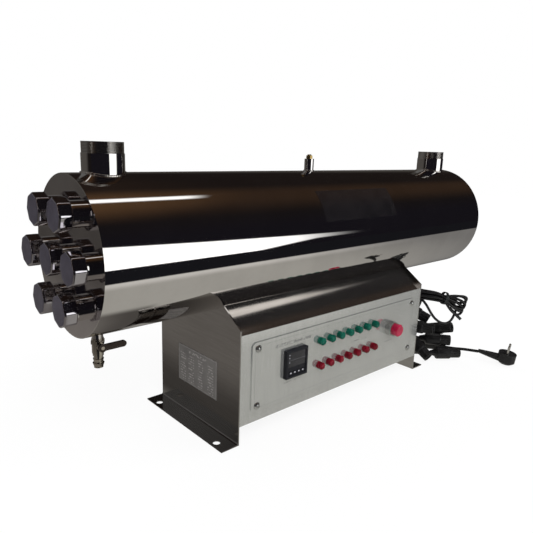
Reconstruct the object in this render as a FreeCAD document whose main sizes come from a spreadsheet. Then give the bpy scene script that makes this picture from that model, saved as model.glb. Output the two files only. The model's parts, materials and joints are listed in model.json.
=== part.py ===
import FreeCAD, Part
import Sketcher
import math
import os

# Seven-lamp UV clarifier: a polished chamber lying on a control cabinet.
# X runs along the chamber from the lamp end (-) to the closed end (+), Y to the back, Z up.
# The origin is the centre of the four foot holes, on the floor.

Vector, Rotation, Placement = FreeCAD.Vector, FreeCAD.Rotation, FreeCAD.Placement

doc = FreeCAD.newDocument("uv_clarifier")
sheet = doc.addObject("Spreadsheet::Sheet", "Sizes")

sizes = [
    # chamber
    ("shellOd", 219, "chamber tube, outside diameter"),
    ("shellWall", 2, "chamber tube, wall"),
    ("shellLength", 899, "chamber tube, length"),
    ("lampEndX", -446, "lamp end of the chamber tube"),
    ("axisHeight", 303, "chamber axis above the floor"),
    ("lampPlateThick", 6, "lamp-end plate"),
    ("capThick", 3, "closed end cap, sheet"),
    ("capRise", 12, "closed end cap, dish"),
    # lamps
    ("lampCircle", 70, "radius of the ring of six lamps"),
    ("sleeveOd", 23, "quartz sleeve, outside diameter"),
    ("sleeveWall", 1.5, "quartz sleeve, wall"),
    ("sleeveLength", 858, "quartz sleeve, length"),
    ("lampOd", 15.5, "UV lamp, tube diameter"),
    ("lampLength", 790, "UV lamp, length"),
    ("lampBaseLength", 24, "UV lamp, ceramic base"),
    ("lampSlack", 0.3, "lamp base to sleeve, and sleeve to baffle"),
    ("collarOd", 35, "socket collar, diameter"),
    ("collarLength", 12, "socket collar, length"),
    ("spigotOd", 30, "socket spigot, diameter"),
    ("spigotLength", 11, "socket spigot, length"),
    ("sleeveRoom", 1, "socket bore round the sleeve"),
    ("sealSection", 2.5, "sleeve seal, section"),
    ("nutFlats", 42, "gland nut, across flats"),
    ("nutLength", 18, "gland nut, length"),
    ("nutFace", 5, "gland nut, closed face"),
    ("baffleX", 350, "sleeve baffle, place"),
    ("baffleThick", 3, "sleeve baffle, sheet"),
    ("flowHole", 22, "sleeve baffle, flow holes"),
    ("flowCircle", 60, "sleeve baffle, circle of flow holes"),
    # ports
    ("inletX", -392, "inlet, place"),
    ("outletX", 407, "outlet, place"),
    ("portOd", 57, "port pipe, outside diameter"),
    ("portThreadOd", 55.4, "port thread, diameter"),
    ("portThreadLength", 15, "port thread, length"),
    ("portWall", 3, "port pipe, wall under the thread"),
    ("portHeight", 40, "port above the shell"),
    ("ventX", 4, "air vent, place"),
    ("ventOd", 17, "air vent boss, diameter"),
    ("ventHeight", 21, "air vent boss above the shell"),
    ("ventBore", 8.1, "air vent bore"),
    ("bleedShank", 8, "bleed plug, shank"),
    ("bleedDepth", 12, "bleed plug, depth in its boss"),
    ("bleedFlats", 10, "bleed plug, head across flats"),
    ("bleedHead", 5.5, "bleed plug, head"),
    ("bleedGap", 0.3, "bleed plug head above its boss"),
    # drain
    ("drainX", -410, "drain, place"),
    ("stubOd", 15.5, "drain stub, diameter"),
    ("drainBore", 7, "drain, clear bore"),
    ("stubLength", 11, "drain stub below the shell"),
    ("valveOd", 17, "valve body, diameter"),
    ("valveLength", 22, "valve body, length"),
    ("ballOd", 12, "valve ball"),
    ("ballSlack", 0.3, "valve ball in its body"),
    ("stemOd", 5, "valve stem"),
    ("stemSlack", 0.05, "valve stem in its boss"),
    ("stemBossOd", 11, "valve stem boss"),
    ("stemBossReach", 12, "valve stem boss, from the valve axis"),
    ("leverGap", 0.4, "lever hub off its boss"),
    ("leverThick", 4.5, "lever"),
    ("leverHubOd", 12, "lever hub"),
    ("leverWidth", 9, "lever, width"),
    ("leverLength", 31.5, "lever, axis to tip centre"),
    ("tailLength", 22, "hose tail, length"),
    ("tailOd", 13, "hose tail, neck"),
    ("barbOd", 16.5, "hose tail, barb"),
    # cabinet
    ("cabinetLength", 480, "cabinet, over the end plates"),
    ("cabinetDepth", 222, "cabinet, front to back"),
    ("plateThick", 2, "end plate"),
    ("wallHeight", 187, "end plate, straight front edge"),
    ("hornSpread", 67.6, "end plate, half width at the shell"),
    ("footWidth", 32, "foot flange"),
    ("bendRadius", 3, "foot bend, inside"),
    ("holeInset", 22, "foot hole from the plate face"),
    ("holeSpread", 170, "foot holes, front to back"),
    ("holeOd", 12, "foot hole"),
    ("sheetThick", 1.5, "front, rear, cover and tray sheet"),
    ("fasciaTop", 179, "front and rear panels, top"),
    ("fasciaBottom", 31, "front and rear panels, bottom"),
    ("trayLip", 14, "bottom tray, upturned lip"),
    # instrument plate
    ("panelWidth", 434, "instrument plate, width"),
    ("panelBottom", 48, "instrument plate, bottom"),
    ("panelTop", 163, "instrument plate, top"),
    ("panelThick", 2, "instrument plate"),
    ("panelCorner", 8, "instrument plate, corner radius"),
    ("screwSpread", 411, "plate screws, left to right"),
    ("screwLow", 57.5, "plate screws, lower row"),
    ("screwHigh", 152.5, "plate screws, upper row"),
    ("screwHead", 12.5, "plate screw, head"),
    ("screwRise", 4, "plate screw, head height"),
    ("screwShank", 4, "plate screw, shank"),
    ("screwReach", 8, "plate screw, behind the plate face"),
    ("timerX", -126.5, "timer, place"),
    ("timerZ", 112, "timer, height"),
    ("timerSide", 48, "timer bezel, side"),
    ("timerRise", 7.5, "timer bezel in front of the plate"),
    ("timerCase", 44.6, "timer case behind the plate, side"),
    ("timerDepth", 78, "timer case behind the plate, depth"),
    ("cutoutSlack", 0.2, "panel cut-outs round what they hold"),
    ("timerRim", 4, "timer bezel, rim round its face"),
    ("faceSink", 1.2, "timer face below its rim"),
    ("displayHeight", 25, "timer display window"),
    ("keyWidth", 6.5, "timer key, width"),
    ("keyHeight", 4.5, "timer key, height"),
    ("keyPitch", 9.2, "timer keys, pitch"),
    ("keyDrop", 15.2, "timer keys below the timer's centre"),
    ("keyTravel", 0.8, "timer key, travel"),
    ("keySlack", 0.3, "timer key in its window"),
    ("keyLength", 4, "timer key, length"),
    ("lampsX", -66, "first indicator lamp"),
    ("lampsPitch", 24.9, "indicator lamps, pitch"),
    ("greenZ", 134.5, "green lamps, height"),
    ("redZ", 90.3, "red lamps, height"),
    ("lensOd", 13, "indicator lens"),
    ("lensRise", 11, "indicator lens in front of the plate"),
    ("lensNose", 2.2, "indicator lens, bevel of its end"),
    ("lensShank", 8, "indicator body behind the plate, diameter"),
    ("lensDepth", 22, "indicator body behind the plate, depth"),
    ("buttonX", 135, "push button, place"),
    ("buttonZ", 115.6, "push button, height"),
    ("bezelOd", 29, "push-button bezel"),
    ("bezelRise", 13, "push-button bezel in front of the plate"),
    ("barrelOd", 22, "push-button barrel behind the plate"),
    ("barrelDepth", 24, "push-button barrel behind the plate, depth"),
    ("buttonOd", 24, "push-button cap"),
    ("buttonRise", 25, "push-button cap in front of the plate"),
    ("buttonSeat", 6, "bottom of the bezel's well above the plate"),
    ("buttonTravel", 4, "push-button travel"),
    ("buttonSlack", 0.3, "push-button cap in its bezel"),
    ("nutRingOd", 29, "push-button clamping nut"),
    ("nutRingThick", 5, "push-button clamping nut, thickness"),
    ("contactSide", 30, "contact block, side"),
    ("contactDepth", 26, "contact block, depth"),
    # inside
    ("ballastWidth", 38, "lamp ballast, width"),
    ("ballastHeight", 30, "lamp ballast, height"),
    ("ballastDepth", 92, "lamp ballast, front to back"),
    ("ballastPitch", 50, "lamp ballasts, pitch"),
    ("ballastX", -160, "first ballast"),
    ("ballastY", 44, "ballasts behind the cabinet centre"),
    ("terminalLength", 84, "terminal block, length"),
    ("terminalHeight", 22, "terminal block, height"),
    ("terminalDepth", 24, "terminal block, depth"),
    ("labelWidth", 110, "rating label, width"),
    ("labelBottom", 54, "rating label, bottom"),
    ("labelTop", 120, "rating label, top"),
    ("labelThick", 0.4, "rating label"),
    # cables
    ("bushingY", 55, "lamp-lead bushing, place"),
    ("bushingZ", 150, "lamp-lead bushing, height"),
    ("bushingOd", 26, "lamp-lead bushing, flange"),
    ("bushingNeck", 21, "lamp-lead bushing, neck in the plate"),
    ("bushingRise", 8, "lamp-lead bushing, outside the plate"),
    ("glandY", 49, "mains gland, place"),
    ("glandZ", 44, "mains gland, height"),
    ("glandOd", 16, "mains gland, dome"),
    ("glandNeck", 12, "mains gland, neck in the plate"),
    ("glandRise", 20, "mains gland, outside the plate"),
    ("leadOd", 5.4, "lamp lead"),
    ("hankOd", 22, "hank of lamp leads, middle"),
    ("connectorRingOd", 23, "lamp connector, ribbed mouth end"),
    ("connectorRing", 22, "lamp connector, ribbed mouth end, length"),
    ("connectorOd", 27.2, "lamp connector, barrel"),
    ("connectorBody", 32, "lamp connector, barrel length"),
    ("connectorTail", 14, "lamp connector, tail"),
    ("mainsOd", 6.5, "mains lead"),
    ("coilX", 322, "spare mains coil, centre"),
    ("coilY", 84, "spare mains coil, centre"),
    ("coilOd", 90, "spare mains coil, outside"),
    ("coilId", 49, "spare mains coil, inside"),
    ("coilHeight", 20, "spare mains coil, height"),
    ("plugOd", 37, "plug, head"),
    ("plugHead", 20, "plug, head height"),
    ("plugNeck", 28, "plug, neck"),
    ("plugRelief", 22, "plug, strain relief behind its neck"),
    ("pinOd", 4.8, "plug pin"),
    ("pinLength", 19, "plug pin, length"),
    ("pinPitch", 19, "plug pins, pitch"),
    ("plugTilt", 7, "plug, rise of its neck in degrees"),
    ("plugYaw", 18, "plug, its neck turned from the y axis in degrees"),
]

for row, (alias, value, note) in enumerate(sizes, 1):
    sheet.set(f"A{row}", note)
    sheet.set(f"B{row}", str(value))
    sheet.setAlias(f"B{row}", alias)
doc.recompute()


def size(alias):
    return float(sheet.get(alias))


def cells(expression):
    """Puts the sheet's name before each alias that the expression uses."""
    words, word = [], ""
    for letter in expression + " ":
        if letter.isalnum():
            word += letter
        else:
            words.append(f"Sizes.{word}" if word in aliases else word)
            words.append(letter)
            word = ""
    return "".join(words).strip()


aliases = {alias for alias, value, note in sizes}
nodes = {}

turns = {
    "X": Rotation(Vector(0, 1, 0), 90),
    "Y": Rotation(Vector(1, 0, 0), -90),
    "-Y": Rotation(Vector(1, 0, 0), 90),
    "Z": Rotation(),
    "-Z": Rotation(Vector(1, 0, 0), 180),
}


# ---- primitives and booleans, each size bound to the sheet

def primitive(kind, at, along="Z", **bound):
    thing = doc.addObject(kind, "Shape")
    thing.Placement = Placement(Vector(), turns[along])
    for name, expression in bound.items():
        thing.setExpression(name, cells(expression))
    for axis, expression in zip("xyz", at):
        thing.setExpression(f"Placement.Base.{axis}", cells(expression))
    return thing


def cylinder(radius, length, at, along="Z"):
    return primitive("Part::Cylinder", at, along, Radius=radius, Height=length)


def cone(radiusStart, radiusEnd, length, at, along="Z"):
    return primitive("Part::Cone", at, along, Radius1=radiusStart, Radius2=radiusEnd, Height=length)


def ball(radius, at):
    return primitive("Part::Sphere", at, Radius=radius)


def ring(radius, section, at, along="Z"):
    return primitive("Part::Torus", at, along, Radius1=radius, Radius2=section)


def block(length, width, height, at):
    return primitive("Part::Box", at, Length=length, Width=width, Height=height)


def prism(sides, flats, length, at, along="Z"):
    """A right prism, given across its flats."""
    thing = primitive("Part::Prism", at, along,
                      Circumradius=f"({flats}) / 2 / cos(180 deg / {sides})", Height=length)
    thing.Polygon = sides
    return thing


def fuse(*things):
    whole = doc.addObject("Part::MultiFuse", "Whole")
    whole.Shapes = list(things)
    return whole


def cut(base, *tools):
    result = doc.addObject("Part::Cut", "Cut")
    result.Base = base
    result.Tool = tools[0] if len(tools) == 1 else fuse(*tools)
    return result


def group(things):
    whole = doc.addObject("Part::Compound", "Group")
    whole.Links = things
    return whole


def node(name, thing):
    thing.Label = name
    nodes[name] = thing
    return thing


# ---- sketched bodies

def body():
    return doc.addObject("PartDesign::Body", "Body")


def sketchOn(owner, plane, offset="0"):
    """A sketch on the body's own origin plane, moved along the plane's normal."""
    sketch = owner.newObject("Sketcher::SketchObject", "Sketch")
    support = [item for item in owner.Origin.OriginFeatures if item.Role == plane][0]
    sketch.AttachmentSupport = [(support, "")]
    sketch.MapMode = "FlatFace"
    sketch.setExpression("AttachmentOffset.Base.z", cells(offset))
    return sketch


def bind(sketch, kind, place, expression):
    """One driving dimension of a sketch, bound to the sheet."""
    number = sketch.addConstraint(Sketcher.Constraint(kind, *place, 1.0))
    sketch.setExpression(f"Constraints[{number}]", cells(expression))


def outline(sketch, corners):
    """A closed outline of straight lines, with both coordinates of each corner bound."""
    count = len(corners)
    angles = [2 * math.pi * i / count for i in range(count + 1)]
    spots = [Vector(20 * math.cos(a), 20 * math.sin(a), 0) for a in angles]
    first = sketch.GeometryCount
    for i in range(count):
        sketch.addGeometry(Part.LineSegment(spots[i], spots[i + 1]), False)
    for i in range(count):
        sketch.addConstraint(
            Sketcher.Constraint("Coincident", first + i, 2, first + (i + 1) % count, 1))
        bind(sketch, "DistanceX", (first + i, 1), corners[i][0])
        bind(sketch, "DistanceY", (first + i, 1), corners[i][1])


def rectangle(sketch, left, right, low, high):
    outline(sketch, [(left, low), (right, low), (right, high), (left, high)])


def circle(sketch, across, up, radius):
    number = sketch.addGeometry(Part.Circle(Vector(1, 1, 0), Vector(0, 0, 1), 3), False)
    bind(sketch, "DistanceX", (number, 3), across)
    bind(sketch, "DistanceY", (number, 3), up)
    bind(sketch, "Radius", (number,), radius)


def pad(owner, sketch, length, backwards=False):
    feature = owner.newObject("PartDesign::Pad", "Pad")
    feature.Profile = sketch
    feature.Reversed = backwards
    feature.setExpression("Length", cells(length))
    return feature


def pocket(owner, sketch, midplane=True):
    """Cuts the sketch right through the body."""
    doc.recompute()
    before = owner.Shape.Volume
    feature = owner.newObject("PartDesign::Pocket", "Pocket")
    feature.Profile = sketch
    feature.Type = "ThroughAll"
    feature.Midplane = midplane
    doc.recompute()
    if owner.Shape.Volume > before - 0.01:
        raise RuntimeError(f"a pocket of {owner.Label} cuts nothing")
    return feature


def fillet(owner, edges, radius):
    base = owner.Tip
    feature = owner.newObject("PartDesign::Fillet", "Fillet")
    feature.Base = (base, edges)
    feature.setExpression("Radius", cells(radius))


# ---- chamber

shellTop = "axisHeight + shellOd / 2"
shellBottom = "axisHeight - shellOd / 2"
farEndX = "lampEndX + shellLength"
lampSpots = [("0", "axisHeight")]
for i in range(6):
    lampSpots.append((f"lampCircle * cos({60 * i} deg)", f"axisHeight + lampCircle * sin({60 * i} deg)"))
boreRadius = "sleeveOd / 2 + sleeveRoom"


def insideShell(length="shellLength", at="lampEndX"):
    return cylinder("shellOd / 2 - shellWall", length, (at, "0", "axisHeight"), "X")


def makeShell():
    tube = cylinder("shellOd / 2", "shellLength", ("lampEndX", "0", "axisHeight"), "X")
    holes = [insideShell()]
    for place, width in (("inletX", "portOd"), ("outletX", "portOd"), ("ventX", "ventOd")):
        holes.append(cylinder(f"{width} / 2", "shellOd", (place, "0", "axisHeight")))
    holes.append(cylinder("stubOd / 2", "shellOd", ("drainX", "0", "axisHeight"), "-Z"))
    node("chamber_shell", cut(tube, *holes))


def makeLampPlate():
    plate = body()
    sketch = sketchOn(plate, "YZ_Plane", "lampEndX")
    circle(sketch, "0", "axisHeight", "shellOd / 2 - shellWall")
    pad(plate, sketch, "lampPlateThick")
    holes = sketchOn(plate, "YZ_Plane", "lampEndX")
    for across, up in lampSpots:
        circle(holes, across, up, boreRadius)
    pocket(plate, holes)
    node("lamp_end_plate", plate)


def makeFarCap():
    """A shallow dish: two spheres a sheet apart, cut to the inside of the tube."""
    rim = "(shellOd / 2 - shellWall)"
    sphere = f"({rim} * {rim} + capRise * capRise) / 2 / capRise"
    centre = f"{farEndX} + capRise - ({sphere})"
    dish = cut(ball(sphere, (centre, "0", "axisHeight")),
               ball(f"{sphere} - capThick", (centre, "0", "axisHeight")))
    cap = doc.addObject("Part::Common", "Cap")
    cap.Base = dish
    cap.Tool = insideShell("3 * capRise", f"{farEndX} - capThick")
    node("far_end_cap", cap)


def makePort(name, place):
    lower = cylinder("portOd / 2", "shellOd / 2 + portHeight - portThreadLength",
                     (place, "0", "axisHeight"))
    upper = cylinder("portThreadOd / 2", "shellOd / 2 + portHeight", (place, "0", "axisHeight"))
    bore = cylinder("portOd / 2 - portWall", "shellOd / 2 + portHeight + 1", (place, "0", "axisHeight"))
    node(name, cut(fuse(lower, upper), bore, insideShell()))


def makeVent():
    boss = cylinder("ventOd / 2", "shellOd / 2 + ventHeight", ("ventX", "0", "axisHeight"))
    bore = cylinder("ventBore / 2", "shellOd / 2 + ventHeight + 1", ("ventX", "0", "axisHeight"))
    node("vent_boss", cut(boss, bore, insideShell()))
    top = f"{shellTop} + ventHeight"
    shank = cylinder("bleedShank / 2", "bleedDepth + bleedGap", ("ventX", "0", f"{top} - bleedDepth"))
    head = prism(6, "bleedFlats", "bleedHead", ("ventX", "0", f"{top} + bleedGap"))
    button = cone("bleedFlats * 0.42", "bleedFlats * 0.3", "2",
                  ("ventX", "0", f"{top} + bleedGap + bleedHead"))
    node("bleed_plug", fuse(shank, head, button))


def makeSockets():
    outEnd = "lampEndX - collarLength - spigotLength"
    sealRadius = "sleeveOd / 2 + sealSection"
    sockets, nuts, seals, sleeves, lamps = [], [], [], [], []
    for across, up in lampSpots:
        collar = cylinder("collarOd / 2", "collarLength", ("lampEndX - collarLength", across, up), "X")
        spigot = cylinder("spigotOd / 2", "spigotLength + 1", (outEnd, across, up), "X")
        bore = cylinder(boreRadius, "collarLength + spigotLength + 2", (f"{outEnd} - 1", across, up), "X")
        seat = cylinder(sealRadius, "sealSection + 1", (f"{outEnd} - 1", across, up), "X")
        sockets.append(cut(fuse(collar, spigot), bore, seat))
        seals.append(ring("(sleeveOd + sealSection) / 2", "sealSection / 2",
                          (f"{outEnd} + sealSection / 2", across, up), "X"))
        face = "lampEndX - collarLength - nutLength"
        nut = prism(8, "nutFlats", "nutLength", (face, across, up), "X")
        thread = cylinder("spigotOd / 2", "nutLength", (f"{face} + nutFace", across, up), "X")
        nuts.append(cut(nut, thread))
        sleeves.append(makeSleeve(f"{outEnd} - 1", across, up))
        lamps.append(makeLamp(f"{outEnd} + 1", across, up))
    node("sleeve_sockets", group(sockets))
    node("gland_nuts", group(nuts))
    node("sleeve_seals", group(seals))
    node("quartz_sleeves", group(sleeves))
    node("uv_lamps", group(lamps))


def makeSleeve(start, across, up):
    """A quartz tube, open at the lamp end and domed at the other."""
    outer = "sleeveOd / 2"
    inner = "sleeveOd / 2 - sleeveWall"
    straight = "sleeveLength - sleeveOd / 2"
    solid = fuse(cylinder(outer, straight, (start, across, up), "X"),
                 ball(outer, (f"{start} + {straight}", across, up)))
    hollow = fuse(cylinder(inner, f"{straight} + 1", (f"{start} - 1", across, up), "X"),
                  ball(inner, (f"{start} + {straight}", across, up)))
    return cut(solid, hollow)


def makeLamp(start, across, up):
    base = cylinder("sleeveOd / 2 - sleeveWall - lampSlack", "lampBaseLength", (start, across, up), "X")
    glass = cylinder("lampOd / 2", "lampLength", (start, across, up), "X")
    tip = ball("lampOd / 2", (f"{start} + lampLength", across, up))
    return fuse(base, glass, tip)


def makeBaffle():
    disc = insideShell("baffleThick", "baffleX")
    holes = []
    for across, up in lampSpots:
        holes.append(cylinder("sleeveOd / 2 + lampSlack", "baffleThick + 2",
                              ("baffleX - 1", across, up), "X"))
    for i in range(6):
        angle = 60 * i + 30
        holes.append(cylinder("flowHole / 2", "baffleThick + 2",
                              ("baffleX - 1", f"flowCircle * cos({angle} deg)",
                               f"axisHeight + flowCircle * sin({angle} deg)"), "X"))
    node("sleeve_baffle", cut(disc, *holes))


# ---- drain

valveTop = f"{shellBottom} - stubLength"
valveZ = f"{valveTop} - valveLength / 2"
valveBottom = f"{valveTop} - valveLength"
leverY = "0 - stemBossReach - leverGap"


def makeDrain():
    stub = cylinder("stubOd / 2", "shellOd / 2 + stubLength", ("drainX", "0", "axisHeight"), "-Z")
    stubBore = cylinder("drainBore / 2", "shellOd / 2 + stubLength + 1", ("drainX", "0", "axisHeight"), "-Z")
    node("drain_stub", cut(stub, stubBore, insideShell()))

    case = cylinder("valveOd / 2", "valveLength", ("drainX", "0", valveBottom))
    belt = prism(6, "valveOd + 1", "5", ("drainX", "0", f"{valveTop} - 8"))
    boss = cylinder("stemBossOd / 2", "stemBossReach", ("drainX", "0", valveZ), "-Y")
    bore = cylinder("drainBore / 2", "valveLength + 2", ("drainX", "0", f"{valveBottom} - 1"))
    pocketed = ball("ballOd / 2 + ballSlack", ("drainX", "0", valveZ))
    stemHole = cylinder("stemOd / 2 + stemSlack", "stemBossReach + 1", ("drainX", "0", valveZ), "-Y")
    node("drain_valve_body", cut(fuse(case, belt, boss), bore, pocketed, stemHole))

    whole = ball("ballOd / 2", ("drainX", "0", valveZ))
    through = cylinder("drainBore / 2", "ballOd + 2", ("drainX - ballOd / 2 - 1", "0", valveZ), "X")
    stem = cylinder("stemOd / 2", "stemBossReach + leverGap + leverThick - ballOd / 2 + 1",
                    ("drainX", "1 - ballOd / 2", valveZ), "-Y")
    node("drain_ball", fuse(cut(whole, through), stem))

    hub = cylinder("leverHubOd / 2", "leverThick", ("drainX", leverY, valveZ), "-Y")
    bar = block("leverLength", "leverThick", "leverWidth",
                ("drainX", f"{leverY} - leverThick", f"{valveZ} - leverWidth / 2"))
    tip = cylinder("leverWidth / 2", "leverThick", ("drainX + leverLength", leverY, valveZ), "-Y")
    stemRoom = cylinder("stemOd / 2", "leverThick + 2", ("drainX", f"{leverY} + 1", valveZ), "-Y")
    node("drain_lever", cut(fuse(hub, bar, tip), stemRoom))

    neck = cylinder("tailOd / 2", "tailLength", ("drainX", "0", f"{valveBottom} - tailLength"))
    shoulder = cylinder("valveOd / 2 - 0.8", "4", ("drainX", "0", f"{valveBottom} - 4"))
    barbs = [cone("tailOd / 2 - 0.6", "barbOd / 2", "7", ("drainX", "0", f"{valveBottom} - tailLength")),
             cone("tailOd / 2", "barbOd / 2 - 0.6", "5",
                  ("drainX", "0", f"{valveBottom} - tailLength + 8.5"))]
    tailBore = cylinder("drainBore / 2", "tailLength + 2", ("drainX", "0", f"{valveBottom} - tailLength - 1"))
    foot = cylinder("barbOd", "4", ("drainX", "0", f"{valveBottom} - tailLength - 4"))
    node("hose_tail", cut(fuse(neck, shoulder, *barbs), tailBore, foot))


# ---- cabinet

halfLength = "cabinetLength / 2"
halfDepth = "cabinetDepth / 2"
hornZ = "axisHeight - sqrt(shellOd * shellOd / 4 - hornSpread * hornSpread)"
slope = f"(({hornZ} - wallHeight) / ({halfDepth} - hornSpread))"


def makeEndPlate(name, side):
    """Upright plate with a foot turned outwards; side is -1 at the lamp end and 1 at the other."""
    plate = body()
    face = f"{side} * {halfLength}"
    inner = f"{side} * ({halfLength} - plateThick)"
    flange = f"{side} * ({halfLength} + footWidth)"
    section = sketchOn(plate, "XZ_Plane", f"0 - {halfDepth}")
    outline(section, [(inner, "0"), (flange, "0"), (flange, "plateThick"), (face, "plateThick"),
                      (face, hornZ), (inner, hornZ)])
    pad(plate, section, "cabinetDepth")
    trims = sketchOn(plate, "YZ_Plane")
    for way in (-1, 1):
        outline(trims, [(f"{way} * ({halfDepth} + 1)", f"wallHeight - {slope}"),
                        (f"{way} * hornSpread", hornZ),
                        (f"{way} * hornSpread", f"{hornZ} + 5"),
                        (f"{way} * ({halfDepth} + 1)", f"{hornZ} + 5")])
    pocket(plate, trims)
    cradle = sketchOn(plate, "YZ_Plane")
    circle(cradle, "0", "axisHeight", "shellOd / 2")
    pocket(plate, cradle)
    holes = sketchOn(plate, "XY_Plane")
    for way in (-1, 1):
        circle(holes, f"{side} * ({halfLength} + holeInset)", f"{way} * holeSpread / 2", "holeOd / 2")
    pocket(plate, holes)
    if side > 0:
        entries = sketchOn(plate, "YZ_Plane")
        circle(entries, "bushingY", "bushingZ", "bushingNeck / 2")
        circle(entries, "glandY", "glandZ", "glandNeck / 2")
        pocket(plate, entries)
    doc.recompute()
    fillet(plate, footBends(plate.Shape, side), "bendRadius")
    node(name, plate)


def footBends(shape, side):
    """The inside edge of the foot's bend."""
    face = side * size("cabinetLength") / 2
    thick = size("plateThick")
    found = []
    for number, edge in enumerate(shape.Edges, 1):
        middle = edge.CenterOfMass
        if edge.Length > size("cabinetDepth") - 1 and abs(middle.x - face) < 0.01:
            if abs(middle.z - thick) < 0.01:
                found.append(f"Edge{number}")
    return found


def makeSheets():
    left = f"plateThick - {halfLength}"
    length = "cabinetLength - 2 * plateThick"
    for name, front in (("front_fascia", True), ("rear_panel", False)):
        panel = body()
        plane = sketchOn(panel, "XZ_Plane", halfDepth if front else f"sheetThick - {halfDepth}")
        rectangle(plane, left, f"{halfLength} - plateThick", "fasciaBottom", "fasciaTop")
        pad(panel, plane, "sheetThick", backwards=True)
        if front:
            pocket(panel, panelHoles(panel))
        node(name, panel)
    # the sloped covers run from the panels up to the shell
    for name, way in (("front_cover", -1), ("rear_cover", 1)):
        high = coverTop()
        profile = [(way * size("cabinetDepth") / 2, size("fasciaTop")), (way * high[0], high[1])]
        cover = doc.addObject("Part::Feature", "Cover")
        cover.Shape = slopedSheet(profile, way)
        node(name, cover)
    tray = block(length, "cabinetDepth - 2 * sheetThick - 2 * lampSlack", "trayLip",
                 (left, f"sheetThick + lampSlack - {halfDepth}", "fasciaBottom"))
    hollow = block(f"{length} + 2", "cabinetDepth - 4 * sheetThick - 2 * lampSlack", "trayLip",
                   (f"{left} - 1", f"2 * sheetThick + lampSlack - {halfDepth}", "fasciaBottom + sheetThick"))
    node("bottom_tray", cut(tray, hollow))


def coverTop():
    """Where a line from the fascia's top edge, parallel to the end plates' slant, meets the shell."""
    radius = size("shellOd") / 2
    horn = size("hornSpread")
    depth = size("cabinetDepth") / 2
    hornHeight = size("axisHeight") - math.sqrt(radius ** 2 - horn ** 2)
    rise = hornHeight - size("wallHeight")
    run = depth - horn
    drop = size("axisHeight") - size("fasciaTop")
    a = run ** 2 + rise ** 2
    b = depth * run + drop * rise
    c = depth ** 2 + drop ** 2 - radius ** 2
    share = (b - math.sqrt(b * b - a * c)) / a
    return depth - run * share, size("fasciaTop") + rise * share


def slopedSheet(profile, way):
    """A flat sheet between the end plates, from the panel's top edge to the shell."""
    (lowY, lowZ), (highY, highZ) = profile
    along = Vector(0, highY - lowY, highZ - lowZ).normalize()
    inward = Vector(0, -along.z * (1 if way > 0 else -1), along.y * (1 if way > 0 else -1))
    if inward.z > 0:
        inward = inward * -1
    startX = size("plateThick") - size("cabinetLength") / 2
    length = size("cabinetLength") - 2 * size("plateThick")
    low = Vector(startX, lowY, lowZ)
    high = Vector(startX, highY, highZ) + along * size("sheetThick")
    corners = [low, high, high + inward * size("sheetThick"), low + inward * size("sheetThick")]
    face = Part.Face(Part.makePolygon(corners + [low]))
    sheetSolid = face.extrude(Vector(length, 0, 0))
    shell = Part.makeCylinder(size("shellOd") / 2, 2 * length, Vector(-length, 0, size("axisHeight")),
                              Vector(1, 0, 0))
    below = Part.makeBox(length, 2 * size("cabinetDepth"), size("fasciaTop"),
                         Vector(startX, -size("cabinetDepth"), 0))
    return sheetSolid.cut(shell).cut(below)


# ---- instrument plate

def panelHoles(owner):
    """The cut-outs that the fascia and the instrument plate share."""
    sketch = sketchOn(owner, "XZ_Plane", halfDepth)
    side = "(timerCase / 2 + cutoutSlack)"
    rectangle(sketch, f"timerX - {side}", f"timerX + {side}", f"timerZ - {side}", f"timerZ + {side}")
    for height in ("greenZ", "redZ"):
        for i in range(7):
            circle(sketch, f"lampsX + {i} * lampsPitch", height, "lensShank / 2")
    circle(sketch, "buttonX", "buttonZ", "barrelOd / 2")
    for across, up in screwSpots():
        circle(sketch, across, up, "screwShank / 2")
    return sketch


def screwSpots():
    return [(f"{way} * screwSpread / 2", height) for way in (-1, 1) for height in ("screwLow", "screwHigh")]


plateFace = f"(0 - {halfDepth} - panelThick)"


def makeInstrumentPlate():
    plate = body()
    sketch = sketchOn(plate, "XZ_Plane", halfDepth)
    rectangle(sketch, "0 - panelWidth / 2", "panelWidth / 2", "panelBottom", "panelTop")
    pad(plate, sketch, "panelThick")
    doc.recompute()
    corners = [f"Edge{number}" for number, edge in enumerate(plate.Shape.Edges, 1)
               if abs(edge.Length - size("panelThick")) < 0.01]
    fillet(plate, corners, "panelCorner")
    pocket(plate, panelHoles(plate))
    node("instrument_plate", plate)
    screws = []
    for across, up in screwSpots():
        shank = cylinder("screwShank / 2", "screwReach", (across, plateFace, up), "Y")
        dome = ball("(screwHead * screwHead / 4 + screwRise * screwRise) / 2 / screwRise",
                    (across, f"{plateFace} - screwRise + (screwHead * screwHead / 4 + screwRise * screwRise)"
                             " / 2 / screwRise", up))
        disc = cylinder("screwHead / 2", "screwRise + 1", (across, plateFace, up), "-Y")
        head = doc.addObject("Part::Common", "Head")
        head.Base, head.Tool = disc, dome
        cross = [block("screwHead * 0.55", "screwRise * 0.5", "1",
                       (f"{across} - screwHead * 0.275", f"{plateFace} - screwRise - 0.01", f"{up} - 0.5")),
                 block("1", "screwRise * 0.5", "screwHead * 0.55",
                       (f"{across} - 0.5", f"{plateFace} - screwRise - 0.01", f"{up} - screwHead * 0.275"))]
        screws.append(cut(fuse(shank, head), *cross))
    node("plate_screws", group(screws))


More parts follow.
